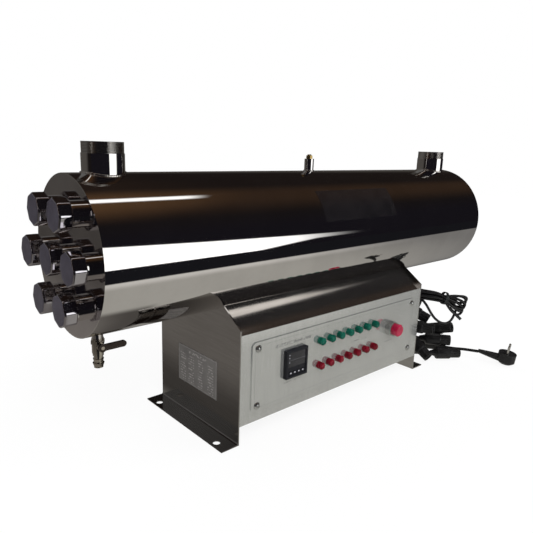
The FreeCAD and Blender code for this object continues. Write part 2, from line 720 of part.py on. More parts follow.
def makeTimer():
    half = "timerSide / 2"
    bezel = block("timerSide", "timerRise", "timerSide",
                  (f"timerX - {half}", f"{plateFace} - timerRise", f"timerZ - {half}"))
    case = block("timerCase", "timerDepth", "timerCase",
                 ("timerX - timerCase / 2", plateFace, "timerZ - timerCase / 2"))
    face = f"{plateFace} - timerRise"
    window = "(timerSide - 2 * timerRim)"
    recess = block(window, "faceSink", window,
                   ("timerX - timerSide / 2 + timerRim", face, "timerZ - timerSide / 2 + timerRim"))
    displayLow = "timerZ + timerSide / 2 - timerRim - displayHeight"
    seat = block(window, "faceSink", "displayHeight",
                 ("timerX - timerSide / 2 + timerRim", f"{face} + faceSink", displayLow))
    cuts = [recess, seat]
    for i in range(4):
        across = f"(timerX + ({i} - 1.5) * keyPitch)"
        low = "timerZ - keyDrop - keyHeight / 2"
        cuts.append(block("keyWidth + 2 * keySlack", "keyLength + keyTravel + keySlack",
                          "keyHeight + 2 * keySlack",
                          (f"{across} - keyWidth / 2 - keySlack", f"{face} + faceSink", f"{low} - keySlack")))
        key = block("keyWidth", "keyLength", "keyHeight",
                    (f"{across} - keyWidth / 2", f"{face} + faceSink / 3", low))
        softened = doc.addObject("Part::Fillet", "Key")
        softened.Base = key
        doc.recompute()
        front = key.Shape.BoundBox.YMin
        softened.Edges = [(number, 0.5, 0.5) for number, edge in enumerate(key.Shape.Edges, 1)
                          if edge.BoundBox.YMax < front + 0.01]
        node(f"timer_key_{i + 1}", softened)
    node("timer_case", cut(fuse(bezel, case), *cuts))
    node("timer_display", block(window, "faceSink", "displayHeight",
                                ("timerX - timerSide / 2 + timerRim", f"{face} + faceSink", displayLow)))


def makeIndicators():
    """Seven green and seven red indicator lamps, each lens and its body in one piece."""
    for name, height in (("green_lamps", "greenZ"), ("red_lamps", "redZ")):
        lamps = []
        for i in range(7):
            across = f"lampsX + {i} * lampsPitch"
            lens = cylinder("lensOd / 2", "lensRise - lensNose", (across, plateFace, height), "-Y")
            nose = cone("lensOd / 2", "lensOd / 2 - lensNose", "lensNose",
                        (across, f"{plateFace} - lensRise + lensNose", height), "-Y")
            shank = cylinder("lensShank / 2", "lensDepth", (across, plateFace, height), "Y")
            lamps.append(fuse(lens, nose, shank))
        node(name, group(lamps))


def makeButton():
    spot = ("buttonX", plateFace, "buttonZ")
    flange = cylinder("bezelOd / 2", "bezelRise", spot, "-Y")
    barrel = cylinder("barrelOd / 2", "barrelDepth", spot, "Y")
    well = cylinder("buttonOd / 2 + buttonSlack", "bezelRise",
                    ("buttonX", f"{plateFace} - buttonSeat", "buttonZ"), "-Y")
    guide = cylinder("barrelOd / 2 - 3", "barrelDepth + bezelRise + 2",
                     ("buttonX", f"{plateFace} - bezelRise - 1", "buttonZ"), "Y")
    node("button_bezel", cut(fuse(flange, barrel), well, guide))
    cap = cylinder("buttonOd / 2", "buttonRise - buttonSeat - buttonTravel - buttonSlack - 2",
                   ("buttonX", f"{plateFace} - buttonSeat - buttonTravel - buttonSlack", "buttonZ"), "-Y")
    crown = cone("buttonOd / 2", "buttonOd / 2 - 2", "2",
                 ("buttonX", f"{plateFace} - buttonRise + 2", "buttonZ"), "-Y")
    plunger = cylinder("barrelOd / 2 - 3 - buttonSlack",
                       "buttonSeat + buttonTravel + buttonSlack + barrelDepth / 2",
                       ("buttonX", f"{plateFace} - buttonSeat - buttonTravel - buttonSlack", "buttonZ"), "Y")
    node("button_cap", fuse(cap, crown, plunger))
    inside = f"({plateFace} + panelThick + sheetThick)"
    nut = prism(6, "nutRingOd", "nutRingThick", ("buttonX", inside, "buttonZ"), "Y")
    room = cylinder("barrelOd / 2", "nutRingThick + 2", ("buttonX", f"{inside} - 1", "buttonZ"), "Y")
    node("button_nut", cut(nut, room))
    node("contact_block", block("contactSide", "contactDepth", "contactSide",
                                ("buttonX - contactSide / 2", f"{plateFace} + barrelDepth",
                                 "buttonZ - contactSide / 2")))


# ---- inside the cabinet

def makeInside():
    floor = "fasciaBottom + sheetThick"
    ballasts = []
    for i in range(7):
        across = f"ballastX + {i} * ballastPitch"
        case = block("ballastWidth", "ballastDepth", "ballastHeight",
                     (f"{across} - ballastWidth / 2", "ballastY - ballastDepth / 2", floor))
        groove = block("ballastWidth - 8", "6", "2",
                       (f"{across} - ballastWidth / 2 + 4", "ballastY - ballastDepth / 2 + 8",
                        f"{floor} + ballastHeight - 2"))
        ballasts.append(cut(case, groove))
    node("ballasts", group(ballasts))
    strip = block("terminalLength", "terminalDepth", "terminalHeight",
                  ("0 - terminalLength / 2", "0 - 60", floor))
    slots = []
    for i in range(6):
        slots.append(cylinder("2.5", "terminalHeight", (f"(({i} + 0.5) / 6 - 0.5) * terminalLength",
                                                       "terminalDepth / 2 - 60", f"{floor} + 8")))
    node("terminal_block", cut(strip, *slots))
    node("rating_label", block("labelThick", "labelWidth", "labelTop - labelBottom",
                               (f"0 - {halfLength} - labelThick", "0 - labelWidth / 2", "labelBottom")))


# ---- cables

arcShare = 0.45


def route(name, points):
    """Straight runs joined by tangent arcs, each as large as its two runs allow."""
    points = [Vector(*point) for point in points]
    edges, radii = [], []
    start = points[0]
    for before, corner, after in zip(points, points[1:], points[2:]):
        back, ahead = before - corner, after - corner
        turn = math.pi - back.getAngle(ahead)
        reach = arcShare * min(back.Length, ahead.Length)
        radius = reach / math.tan(turn / 2)
        back.normalize()
        ahead.normalize()
        arcStart, arcEnd = corner + back * reach, corner + ahead * reach
        middle = corner + (back + ahead).normalize() * (radius / math.cos(turn / 2) - radius)
        edges.append(Part.LineSegment(start, arcStart).toShape())
        edges.append(Part.Arc(arcStart, middle, arcEnd).toShape())
        radii.append(radius)
        start = arcEnd
    edges.append(Part.LineSegment(start, points[-1]).toShape())
    length = sum(edge.Length for edge in edges)
    print(f"{name}: arc radii {min(radii):.1f} to {max(radii):.1f} mm, length {length:.0f} mm")
    return Part.Wire(edges)


def tube(name, points, diameter):
    path = route(name, points)
    first = Vector(*points[1]) - Vector(*points[0])
    profile = Part.Wire(Part.makeCircle(diameter / 2, Vector(*points[0]), first))
    solid = path.makePipeShell([profile], True, False)
    share = solid.Volume / (math.pi * diameter ** 2 / 4 * path.Length)
    if abs(share - 1) > 0.01:
        raise RuntimeError(f"the tube of {name} has {share:.3f} of its volume")
    return solid


def feature(name, shape):
    thing = doc.addObject("Part::Feature", name)
    thing.Shape = shape
    return node(name, thing)


def ellipsoid(centre, direction, halfLength, halfHeight, halfDepth):
    """A ball stretched along a direction, up and across."""
    solid = Part.makeSphere(1).toNurbs()
    scale = FreeCAD.Matrix()
    scale.scale(Vector(halfLength, halfDepth, halfHeight))
    solid = solid.transformGeometry(scale)
    solid.Placement = Placement(Vector(*centre), Rotation(Vector(1, 0, 0), Vector(*direction)))
    return solid


# the hank of lamp leads: along the end plate, then out and forwards to its fanned loops
hankRoute = [(266, 96, 150), (266, 30, 151), (267, -30, 155), (284, -84, 153), (324, -112, 145),
             (352, -130, 136)]
hankFan = ((348, -129, 128), (28, -17, -10), 34, 24, 14)
hankBack = ((266, 92, 150), (0, 1, 0), 22, 15, 12)

# each lead from the hank to its connector
leadRoutes = [
    [(267, 50, 151), (286, 50, 143), (304, 44, 116), (313, 18, 76), (314, -8, 36), (309, -36, 11),
     (305, -64, 6), (308, -86, 11.5), (319.6, -100.2, 14.2)],
    [(270, -42, 154), (282, -34, 141), (288, -24, 116), (291, -18, 86), (295, -30, 61), (296, -53.8, 46.6)],
    [(282, -80, 153), (302, -74, 143), (328, -62, 124), (336, -48, 99), (326, -37, 76), (313, -38, 56),
     (311, -52, 43), (320.2, -69.6, 41)],
    [(268, -16, 153), (292, -12, 147), (318, -12, 130), (338, -12, 100), (346, -14, 66), (349, -30, 41),
     (354.4, -57.6, 49.5)],
    [(266, 24, 152), (281, 23, 144), (286, 17, 125), (283, 3, 105), (277, -14, 87), (277, -32, 76),
     (282.5, -49.2, 74.3)],
    [(266, 12, 152), (276, 10, 148), (289, 2, 137), (297, -12, 122), (301.3, -28.3, 114.1)],
    [(267, 32, 151), (292, 32, 143), (318, 28, 116), (331, 18, 72), (337, 0, 32), (343, -22, 14),
     (354.2, -40.6, 14.2)],
]

# the slack lead that hangs below the hank's fan
slackRoute = [(285, -86, 143), (293, -94, 132), (299, -101, 117), (308, -108, 101), (322, -115, 89),
              (339, -121, 84), (351, -126, 90), (356, -129, 104)]

# each connector: the centre of its mouth, and the way to its tail
connectorSpots = [
    ((374, -141, 14.2), (-0.8, 0.6, 0)),
    ((296, -113, 13.2), (0, 0.87, 0.49)),
    ((361, -124, 41), (-0.6, 0.8, 0)),
    ((368, -121, 70), (-0.2, 0.93, -0.3)),
    ((303, -114, 77), (-0.3, 0.95, -0.04)),
    ((325, -86, 87), (-0.35, 0.85, 0.4)),
    ((395, -95, 14.2), (-0.6, 0.8, 0)),
]

# the mains lead: gland to coil, and coil to plug
mainsEntry = [(260, 49, 44), (279, 49, 42), (300, 49, 29), (322, 49, 16)]
mainsRoute = [(292, 66, 3.4), (306, 42, 3.4), (322, 16, 3.4), (344, -8, 3.4), (372, -25, 3.4),
              (395, -52, 3.4), (405, -80, 3.6), (407, -108, 6), (408, -137, 13), (413.6, -166.4, 15.7)]


def makeLeads():
    lead = size("leadOd")
    hankPath = tube("lead_hank", hankRoute, size("hankOd"))
    start = size("cabinetLength") / 2 + size("bushingRise")
    exitStub = Part.makeCylinder(size("bushingNeck") / 2 - 2, hankRoute[0][0] - start,
                                 Vector(start, size("bushingY"), size("bushingZ")), Vector(1, 0, 0))
    hank = hankPath.fuse([exitStub, ellipsoid(*hankFan), ellipsoid(*hankBack)]).removeSplitter()
    feature("lead_hank", hank)
    connectors = [connector(Vector(*mouth), Vector(*way).normalize()) for mouth, way in connectorSpots]
    for number, points in enumerate(leadRoutes, 1):
        solid = tube(f"lamp_lead_{number}", points, lead).cut([hank, connectors[number - 1]])
        if number == 7:
            solid = Part.makeCompound([solid, tube("slack lead", slackRoute, lead).cut(hank)])
        feature(f"lamp_lead_{number}", solid)
    feature("lamp_connectors", Part.makeCompound(connectors))


def connector(mouth, way):
    """A rubber lamp holder: slim mouth end with a recess, fatter barrel, tapered tail."""
    slim, radius, edge = size("connectorRingOd") / 2, size("connectorOd") / 2, 1.5
    ringLength, barrelLength = size("connectorRing"), size("connectorBody")
    barrelEnd = mouth + way * (ringLength + barrelLength)
    mouthEnd = Part.makeCylinder(slim, ringLength + edge, mouth, way)
    mouthHole = Part.makeCylinder(slim - 3, ringLength / 2, mouth, way)
    barrel = Part.makeCylinder(radius, barrelLength - 2 * edge, mouth + way * (ringLength + edge), way)
    shoulders = [Part.makeCone(radius - edge, radius, edge, mouth + way * ringLength, way),
                 Part.makeCone(radius, radius - edge, edge, barrelEnd - way * edge, way)]
    tail = Part.makeCone(radius - 5, size("leadOd") / 2 + 1.2, size("connectorTail"), barrelEnd, way)
    return mouthEnd.fuse([barrel, tail] + shoulders).cut(mouthHole)


def makeTie():
    """A strap round the fan of the hank, with its free end hanging."""
    centre = Vector(330, -116, 143)
    way = Vector(28, -18, -9).normalize()
    radius = size("hankOd") / 2 + 1.6
    band = Part.makeCylinder(radius, 7, centre - way * 3.5, way)
    hank = nodes["lead_hank"].Shape
    feature("lead_tie", band.cut(hank))


def makeEntries():
    outside = "cabinetLength / 2"
    flange = cylinder("bushingOd / 2", "bushingRise", (outside, "bushingY", "bushingZ"), "X")
    neck = cylinder("bushingNeck / 2", "plateThick + 4",
                    (f"{outside} - plateThick - 4", "bushingY", "bushingZ"), "X")
    bore = cylinder("bushingNeck / 2 - 2", "bushingRise + plateThick + 6",
                    (f"{outside} - plateThick - 5", "bushingY", "bushingZ"), "X")
    node("lead_bushing", cut(fuse(flange, neck), bore))
    hexagon = prism(6, "glandOd + 2", "6", (outside, "glandY", "glandZ"), "X")
    dome = cone("glandOd / 2", "mainsOd / 2 + 1.5", "glandRise - 6",
                (f"{outside} + 6", "glandY", "glandZ"), "X")
    glandNeck = cylinder("glandNeck / 2", "plateThick + 8",
                         (f"{outside} - plateThick - 8", "glandY", "glandZ"), "X")
    backNut = prism(6, "glandOd + 2", "4", (f"{outside} - plateThick - 4", "glandY", "glandZ"), "X")
    glandBore = cylinder("mainsOd / 2", "glandRise + plateThick + 10",
                         (f"{outside} - plateThick - 9", "glandY", "glandZ"), "X")
    node("mains_gland", cut(fuse(hexagon, dome, glandNeck, backNut), glandBore))


def makeMains():
    coil = node("mains_coil", cut(cylinder("coilOd / 2", "coilHeight", ("coilX", "coilY", "0")),
                                  cylinder("coilId / 2", "coilHeight + 2", ("coilX", "coilY", "0 - 1"))))
    doc.recompute()
    feature("mains_lead_entry", tube("mains_lead_entry", mainsEntry, size("mainsOd")).cut(coil.Shape))
    feature("mains_lead", tube("mains_lead", mainsRoute, size("mainsOd")).cut([coil.Shape, plugHousing()[0]]))
    strap = Part.makeBox(size("coilOd") / 2 - size("coilId") / 2 + 3, 8, size("coilHeight") + 1.5,
                         Vector(size("coilX") + size("coilId") / 2 - 1.5, size("coilY") - 4, 0))
    feature("coil_tie", strap.cut(coil.Shape))


def plugHousing():
    """The angled two-pin plug lying on its back, pins up: its body, its place and its pins' foot height."""
    head, tall, back = size("plugOd") / 2, size("plugHead"), 5
    lean = Rotation(Vector(0, 0, 1), size("plugYaw")).multiply(Rotation(Vector(1, 0, 0), size("plugTilt")))
    upright = Part.makeCylinder(head, tall, Vector(0, 0, back))
    base = Part.makeCone(head - 6, head, back)
    neckStart = Vector(0, head * 0.5, 9)
    neckEnd = neckStart + Vector(0, size("plugNeck"), 0)
    reliefEnd = neckEnd + Vector(0, size("plugRelief"), 0)
    neck = Part.makeCone(9, 6.4, size("plugNeck"), neckStart, Vector(0, 1, 0))
    relief = Part.makeCone(6.4, size("mainsOd") / 2 + 0.8, size("plugRelief"), neckEnd, Vector(0, 1, 0))
    housing = upright.fuse([base, neck, relief])
    housing.Placement = Placement(Vector(), lean)
    shift = Vector(*mainsRoute[-1]) - lean.multVec(reliefEnd)
    shift.z = -housing.BoundBox.ZMin
    housing.Placement = Placement(shift, lean)
    return housing, Placement(shift, lean), tall + back


def makePlug():
    housing, place, foot = plugHousing()
    straight = size("pinLength") - size("pinOd") / 2
    pins = []
    for way in (-1, 1):
        start = Vector(way * size("pinPitch") / 2, 0, foot)
        pin = Part.makeCylinder(size("pinOd") / 2, straight, start)
        pins.append(pin.fuse(Part.makeSphere(size("pinOd") / 2, start + Vector(0, 0, straight))))
    pinGroup = Part.makeCompound(pins)
    pinGroup.Placement = place
    feature("mains_plug", housing)
    feature("plug_pins", pinGroup.cut(housing))


makeShell()
makeLampPlate()
makeFarCap()
makePort("inlet_nipple", "inletX")
makePort("outlet_nipple", "outletX")
makeVent()
makeSockets()
makeBaffle()
makeDrain()
makeEndPlate("left_end_plate", -1)
makeEndPlate("right_end_plate", 1)
makeSheets()
makeInstrumentPlate()
makeTimer()
makeIndicators()
makeButton()
makeInside()
makeEntries()
makeLeads()
makeTie()
makeMains()
makePlug()
doc.recompute()

for thing in doc.Objects:
    if "Invalid" in thing.State or "Error" in thing.State:
        raise RuntimeError(f"{thing.Label} ({thing.TypeId}) failed: {thing.State}")
for name, thing in nodes.items():
    if thing.Shape.isNull() or not thing.Shape.isValid():
        raise RuntimeError(f"{name} has no valid shape")

os.makedirs("parts", exist_ok=True)
for name, thing in nodes.items():
    thing.Shape.exportStep(f"parts/{name}.step")
print(f"{len(nodes)} parts written")
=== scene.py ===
import json
import math

import bpy
import numpy as np
from mathutils import Matrix, Vector


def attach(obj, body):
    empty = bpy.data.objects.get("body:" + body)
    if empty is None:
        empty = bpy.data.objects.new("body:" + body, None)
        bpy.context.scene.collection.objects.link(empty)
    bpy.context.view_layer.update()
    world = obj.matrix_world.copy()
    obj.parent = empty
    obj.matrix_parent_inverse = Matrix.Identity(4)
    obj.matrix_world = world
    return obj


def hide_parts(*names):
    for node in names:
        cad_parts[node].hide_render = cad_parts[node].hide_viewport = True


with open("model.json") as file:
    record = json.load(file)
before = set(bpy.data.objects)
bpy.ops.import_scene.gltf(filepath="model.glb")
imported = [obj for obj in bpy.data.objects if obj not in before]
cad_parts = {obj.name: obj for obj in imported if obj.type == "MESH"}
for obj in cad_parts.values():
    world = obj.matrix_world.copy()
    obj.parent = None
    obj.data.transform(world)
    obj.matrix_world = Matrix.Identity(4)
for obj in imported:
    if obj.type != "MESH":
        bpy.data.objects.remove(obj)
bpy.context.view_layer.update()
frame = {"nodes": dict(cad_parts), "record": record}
nodes = frame["nodes"]
mm = 0.001

# where things are on the object, in millimetres
layout = {
    "axisHeight": 303,           # chamber axis above the floor
    "shellRadius": 109.5,
    "inlet": -392,
    "outlet": 407,
    "vent": 4,
    "threadStart": 437.5,        # height where the ports' thread begins
    "lampCircle": 70,            # radius of the ring of six lamps
}

# camera, on the lamp end's side and a little above the chamber
eye = {
    "place": (-0.70825, -0.6771, 0.4519),
    "forward": (0.6483958, 0.72631731, -0.22813603),
    "up": (0.12845081, 0.19099589, 0.97315002),
    "lens": 35.68,
    "sensor": 36,
    "shift": (0.0096, 0.0078),
}


def makeCamera():
    data = bpy.data.cameras.new("studioCamera")
    camera = bpy.data.objects.new("studioCamera", data)
    bpy.context.scene.collection.objects.link(camera)
    forward, up = Vector(eye["forward"]).normalized(), Vector(eye["up"])
    right = forward.cross(up).normalized()
    up = right.cross(forward)
    turn = Matrix((right, up, -forward)).transposed().to_4x4()
    camera.matrix_world = Matrix.Translation(eye["place"]) @ turn
    data.lens, data.sensor_width, data.clip_start = eye["lens"], eye["sensor"], 0.01
    data.shift_x, data.shift_y = eye["shift"]
    bpy.context.scene.camera = camera


makeCamera()
print("camera set")


# small helpers

def unit(vector):
    vector = np.asarray(vector, float)
    return vector / np.linalg.norm(vector)


# two unit vectors square to a direction, the first one level
def across(direction):
    direction = unit(direction)
    level = np.cross(direction, (0, 0, 1))
    level = unit(level) if np.linalg.norm(level) > 1e-6 else np.array((1.0, 0, 0))
    return level, np.cross(level, direction)


# quads of a rows x cols grid of points, joined round the columns if closed
def gridFaces(rows, cols, closed=True):
    j = np.arange(cols if closed else cols - 1)
    i = np.arange(rows - 1)[:, None]
    k = (j + 1) % cols
    return np.stack([i * cols + j, i * cols + k, (i + 1) * cols + k, (i + 1) * cols + j], -1).reshape(-1, 4)


# a mesh piece of the given points and faces, on the chassis, with its material and slot
def addPiece(name, points, faces, look):
    points, faces = np.asarray(points, float).reshape(-1, 3), [list(face) for face in faces]
    mesh = bpy.data.meshes.new(name)
    mesh.from_pydata(points.tolist(), [], faces)
    mesh.polygons.foreach_set("use_smooth", np.full(len(mesh.polygons), True))
    mesh.validate()
    mesh.update()
    piece = bpy.data.objects.new(name, mesh)
    bpy.context.scene.collection.objects.link(piece)
    mesh.materials.append(look)
    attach(piece, "chassis")
    return piece


# materials: shader groups first

# an empty shader group with its inputs and outputs
def newGroup(name, takes, gives):
    group = bpy.data.node_groups.new(name, "ShaderNodeTree")
    for label, kind, value in takes:
        socket = group.interface.new_socket(label, in_out="INPUT", socket_type=kind)
        socket.default_value = value
    for label, kind in gives:
        group.interface.new_socket(label, in_out="OUTPUT", socket_type=kind)
    return group, group.nodes.new("NodeGroupInput"), group.nodes.new("NodeGroupOutput")


# adds a node, sets its properties, and feeds its inputs with links or values
def put(tree, kind, links=None, **settings):
    node = tree.nodes.new(kind)
    for key, value in settings.items():
        setattr(node, key, value)
    for key, value in (links or {}).items():
        if isinstance(value, bpy.types.NodeSocket):
            tree.links.new(value, node.inputs[key])
        else:
            node.inputs[key].default_value = value
    return node


# one math node on links or numbers
def sums(tree, operation, *values):
    return put(tree, "ShaderNodeMath", dict(enumerate(values)), operation=operation).outputs[0]


# smooth step of a value between low and high
def ramp(tree, value, low, high, fromValue=0.0, toValue=1.0):
    links = {"Value": value, "From Min": low, "From Max": high, "To Min": fromValue, "To Max": toValue}
    return put(tree, "ShaderNodeMapRange", links, interpolation_type="SMOOTHSTEP").outputs[0]


# first colour where share is 0, second where it is 1
def mixColour(tree, share, first, second):
    node = put(tree, "ShaderNodeMix", data_type="RGBA")
    for socket, value in zip((node.inputs[0], node.inputs[6], node.inputs[7]), (share, first, second)):
        if isinstance(value, bpy.types.NodeSocket):
            tree.links.new(value, socket)
        else:
            socket.default_value = value
    return node.outputs[2]


# uneven handling: cloudy noise for tone and sheen, fine noise for height
def makeMottle():
    group, takes, gives = newGroup("mottle", [
        ("Vector", "NodeSocketVector", (0, 0, 0)), ("Size", "NodeSocketFloat", 12.0),
        ("Low", "NodeSocketFloat", 0.2), ("High", "NodeSocketFloat", 0.4),
        ("Dark", "NodeSocketColor", (0.1, 0.1, 0.1, 1)), ("Light", "NodeSocketColor", (0.2, 0.2, 0.2, 1))],
        [("Colour", "NodeSocketColor"), ("Roughness", "NodeSocketFloat"), ("Height", "NodeSocketFloat")])
    t, out = group, takes.outputs
    cloud = put(t, "ShaderNodeTexNoise", {"Vector": out["Vector"], "Scale": out["Size"], "Detail": 4.0,
                                          "Roughness": 0.55})
    share = ramp(t, cloud.outputs[0], 0.32, 0.68)
    fineScale = sums(t, "MULTIPLY", out["Size"], 22.0)
    fine = put(t, "ShaderNodeTexNoise", {"Vector": out["Vector"], "Scale": fineScale, "Detail": 2.0})
    sheen = put(t, "ShaderNodeMapRange", {"Value": cloud.outputs[0], "From Min": 0.3, "From Max": 0.7,
                                          "To Min": out["Low"], "To Max": out["High"]})
    t.links.new(mixColour(t, share, out["Dark"], out["Light"]), gives.inputs["Colour"])
    t.links.new(sheen.outputs[0], gives.inputs["Roughness"])
    t.links.new(fine.outputs[0], gives.inputs["Height"])
    return group


# ground sheet: noise drawn out along one way gives fine lines in tone, sheen and height
def makeGrain():
    group, takes, gives = newGroup("grain", [
        ("Vector", "NodeSocketVector", (0, 0, 0)), ("Stretch", "NodeSocketVector", (1, 1, 1)),
        ("Low", "NodeSocketFloat", 0.2), ("High", "NodeSocketFloat", 0.4),
        ("Dark", "NodeSocketColor", (0.4, 0.4, 0.4, 1)), ("Light", "NodeSocketColor", (0.6, 0.6, 0.6, 1))],
        [("Colour", "NodeSocketColor"), ("Roughness", "NodeSocketFloat"), ("Height", "NodeSocketFloat")])
    t, out = group, takes.outputs
    drawn = put(t, "ShaderNodeVectorMath", {0: out["Vector"], 1: out["Stretch"]},
                operation="MULTIPLY").outputs[0]
    lines = put(t, "ShaderNodeTexNoise", {"Vector": drawn, "Scale": 1.0, "Detail": 5.0, "Roughness": 0.65})
    cloud = put(t, "ShaderNodeTexNoise", {"Vector": out["Vector"], "Scale": 9.0, "Detail": 3.0})
    tone = sums(t, "ADD", sums(t, "MULTIPLY", lines.outputs[0], 0.65),
                sums(t, "MULTIPLY", cloud.outputs[0], 0.35))
    sheen = put(t, "ShaderNodeMapRange", {"Value": tone, "From Min": 0.35, "From Max": 0.65,
                                          "To Min": out["Low"], "To Max": out["High"]})
    t.links.new(mixColour(t, ramp(t, tone, 0.35, 0.65), out["Dark"], out["Light"]), gives.inputs["Colour"])
    t.links.new(sheen.outputs[0], gives.inputs["Roughness"])
    t.links.new(lines.outputs[0], gives.inputs["Height"])
    return group


mottle, grain = makeMottle(), makeGrain()

# dark and light tones, metalness, low and high roughness, pattern size or line stretch, bump in mm,
# and extra shader values
finishes = {
    "polished_steel": ((0.74, 0.72, 0.70), (0.80, 0.78, 0.76), 1, 0.03, 0.05, 14, 0.0006, {}),
    "lamp_end_steel": ((0.60, 0.57, 0.57), (0.68, 0.65, 0.65), 1, 0.05, 0.09, 16, 0.001, {}),
    "nut_metal": ((0.50, 0.48, 0.51), (0.58, 0.56, 0.59), 1, 0.05, 0.09, 24, 0.001, {}),
    "nut_face": ((0.085, 0.077, 0.108), (0.12, 0.11, 0.145), 0.5, 0.26, 0.34, 30, 0.004, {}),
    "weld_metal": ((0.70, 0.66, 0.62), (0.82, 0.78, 0.74), 1, 0.10, 0.2, 300, 0.03, {}),
    "brass": ((0.62, 0.42, 0.14), (0.80, 0.60, 0.26), 1, 0.14, 0.24, 60, 0.02, {}),
    "plated_brass": ((0.58, 0.54, 0.46), (0.72, 0.68, 0.60), 1, 0.13, 0.25, 55, 0.02, {}),
    "seal_rubber": ((0.02, 0.02, 0.02), (0.035, 0.035, 0.035), 0, 0.5, 0.65, 60, 0.03, {}),
    "cabinet_steel": ((0.40, 0.385, 0.37), (0.46, 0.445, 0.43), 1, 0.09, 0.14, (14, 14, 300), 0.003, {}),
    "cover_steel": ((0.40, 0.375, 0.35), (0.46, 0.435, 0.405), 0.97, 0.09, 0.14, (14, 300, 14), 0.002, {}),
    "lever_steel": ((0.055, 0.045, 0.04), (0.09, 0.075, 0.065), 1, 0.25, 0.35, 40, 0.01, {}),
    "panel_steel": ((0.60, 0.61, 0.59), (0.65, 0.66, 0.64), 0.76, 0.08, 0.13, (300, 14, 14), 0.002, {}),
    "screw_steel": ((0.50, 0.50, 0.49), (0.62, 0.62, 0.61), 0.92, 0.12, 0.2, 90, 0.02, {}),
    "timer_plastic": ((0.0045, 0.005, 0.0085), (0.0075, 0.008, 0.0125), 0, 0.34, 0.44, 130, 0.03,
                      {"Specular IOR Level": 0.35}),
    "timer_window": ((0.008, 0.008, 0.011), (0.016, 0.016, 0.02), 0, 0.12, 0.18, 40, 0.0,
                     {"Coat Weight": 0.5}),
    "green_lens": ((0.0, 0.055, 0.036), (0.003, 0.10, 0.066), 0, 0.2, 0.3, 90, 0.01,
                   {"Specular IOR Level": 0.3}),
    "red_lens": ((0.10, 0.001, 0.007), (0.18, 0.003, 0.014), 0, 0.2, 0.3, 90, 0.01,
                 {"Specular IOR Level": 0.3}),
    "button_lens": ((0.30, 0.003, 0.032), (0.42, 0.008, 0.055), 0, 0.12, 0.2, 60, 0.02, {"Coat Weight": 0.6}),
    "inner_plastic": ((0.2, 0.21, 0.22), (0.27, 0.28, 0.3), 0, 0.45, 0.6, 50, 0.03, {}),
    "ballast_metal": ((0.55, 0.55, 0.55), (0.68, 0.68, 0.68), 1, 0.3, 0.42, (300, 14, 14), 0.02, {}),
    "label_ground": ((0.17, 0.16, 0.155), (0.21, 0.20, 0.19), 0.3, 0.35, 0.5, 60, 0.01, {}),
    "film": ((0.012, 0.011, 0.013), (0.02, 0.018, 0.02), 0, 0.1, 0.16, 40, 0.0, {"Alpha": 0.45}),
    "black_rubber": ((0.0075, 0.0075, 0.008), (0.014, 0.014, 0.015), 0, 0.30, 0.46, 70, 0.05, {}),
    "cable_jacket": ((0.0065, 0.0065, 0.007), (0.012, 0.012, 0.013), 0, 0.30, 0.42, 90, 0.03, {}),
    "tie_plastic": ((0.012, 0.014, 0.014), (0.02, 0.024, 0.024), 0, 0.35, 0.5, 80, 0.03, {}),
    "pin_metal": ((0.62, 0.61, 0.58), (0.74, 0.73, 0.70), 1, 0.12, 0.22, 80, 0.02, {}),
}


# a finish from its row: drawn-out lines where the pattern is a stretch, clouds where it is a size
def makeFinish(name, dark, light, metallic, low, high, pattern, bump, extras):
    material = bpy.data.materials.new(name)
    material.use_nodes = True
    tree = material.node_tree
    shader = tree.nodes["Principled BSDF"]
    place = put(tree, "ShaderNodeTexCoord").outputs["Object"]
    links = {"Vector": place, "Low": low, "High": high, "Dark": (*dark, 1), "Light": (*light, 1)}
    links["Stretch" if isinstance(pattern, tuple) else "Size"] = pattern
    effect = put(tree, "ShaderNodeGroup", node_tree=grain if isinstance(pattern, tuple) else mottle)
    for key, value in links.items():
        if isinstance(value, bpy.types.NodeSocket):
            tree.links.new(value, effect.inputs[key])
        else:
            effect.inputs[key].default_value = value
    tree.links.new(effect.outputs["Colour"], shader.inputs["Base Color"])
    tree.links.new(effect.outputs["Roughness"], shader.inputs["Roughness"])
    if bump:
        bumpNode = put(tree, "ShaderNodeBump", {"Strength": 1.0, "Distance": bump * mm,
                                                "Height": effect.outputs["Height"]})
        tree.links.new(bumpNode.outputs[0], shader.inputs["Normal"])
    shader.inputs["Metallic"].default_value = metallic
    for key, value in extras.items():
        shader.inputs[key].default_value = value
    return material


# clear glass with faint streaks in its sheen
def makeGlass(name, tint, roughness, ior):
    material = bpy.data.materials.new(name)
    material.use_nodes = True
    tree = material.node_tree
    shader = tree.nodes["Principled BSDF"]
    place = put(tree, "ShaderNodeTexCoord").outputs["Object"]
    streaks = put(tree, "ShaderNodeTexNoise", {"Vector": place, "Scale": 30.0}).outputs[0]
    tree.links.new(ramp(tree, streaks, 0.3, 0.7, roughness, roughness * 2), shader.inputs["Roughness"])
    shader.inputs["Base Color"].default_value = (*tint, 1)
    shader.inputs["Transmission Weight"].default_value = 1
    shader.inputs["IOR"].default_value = ior
    return material


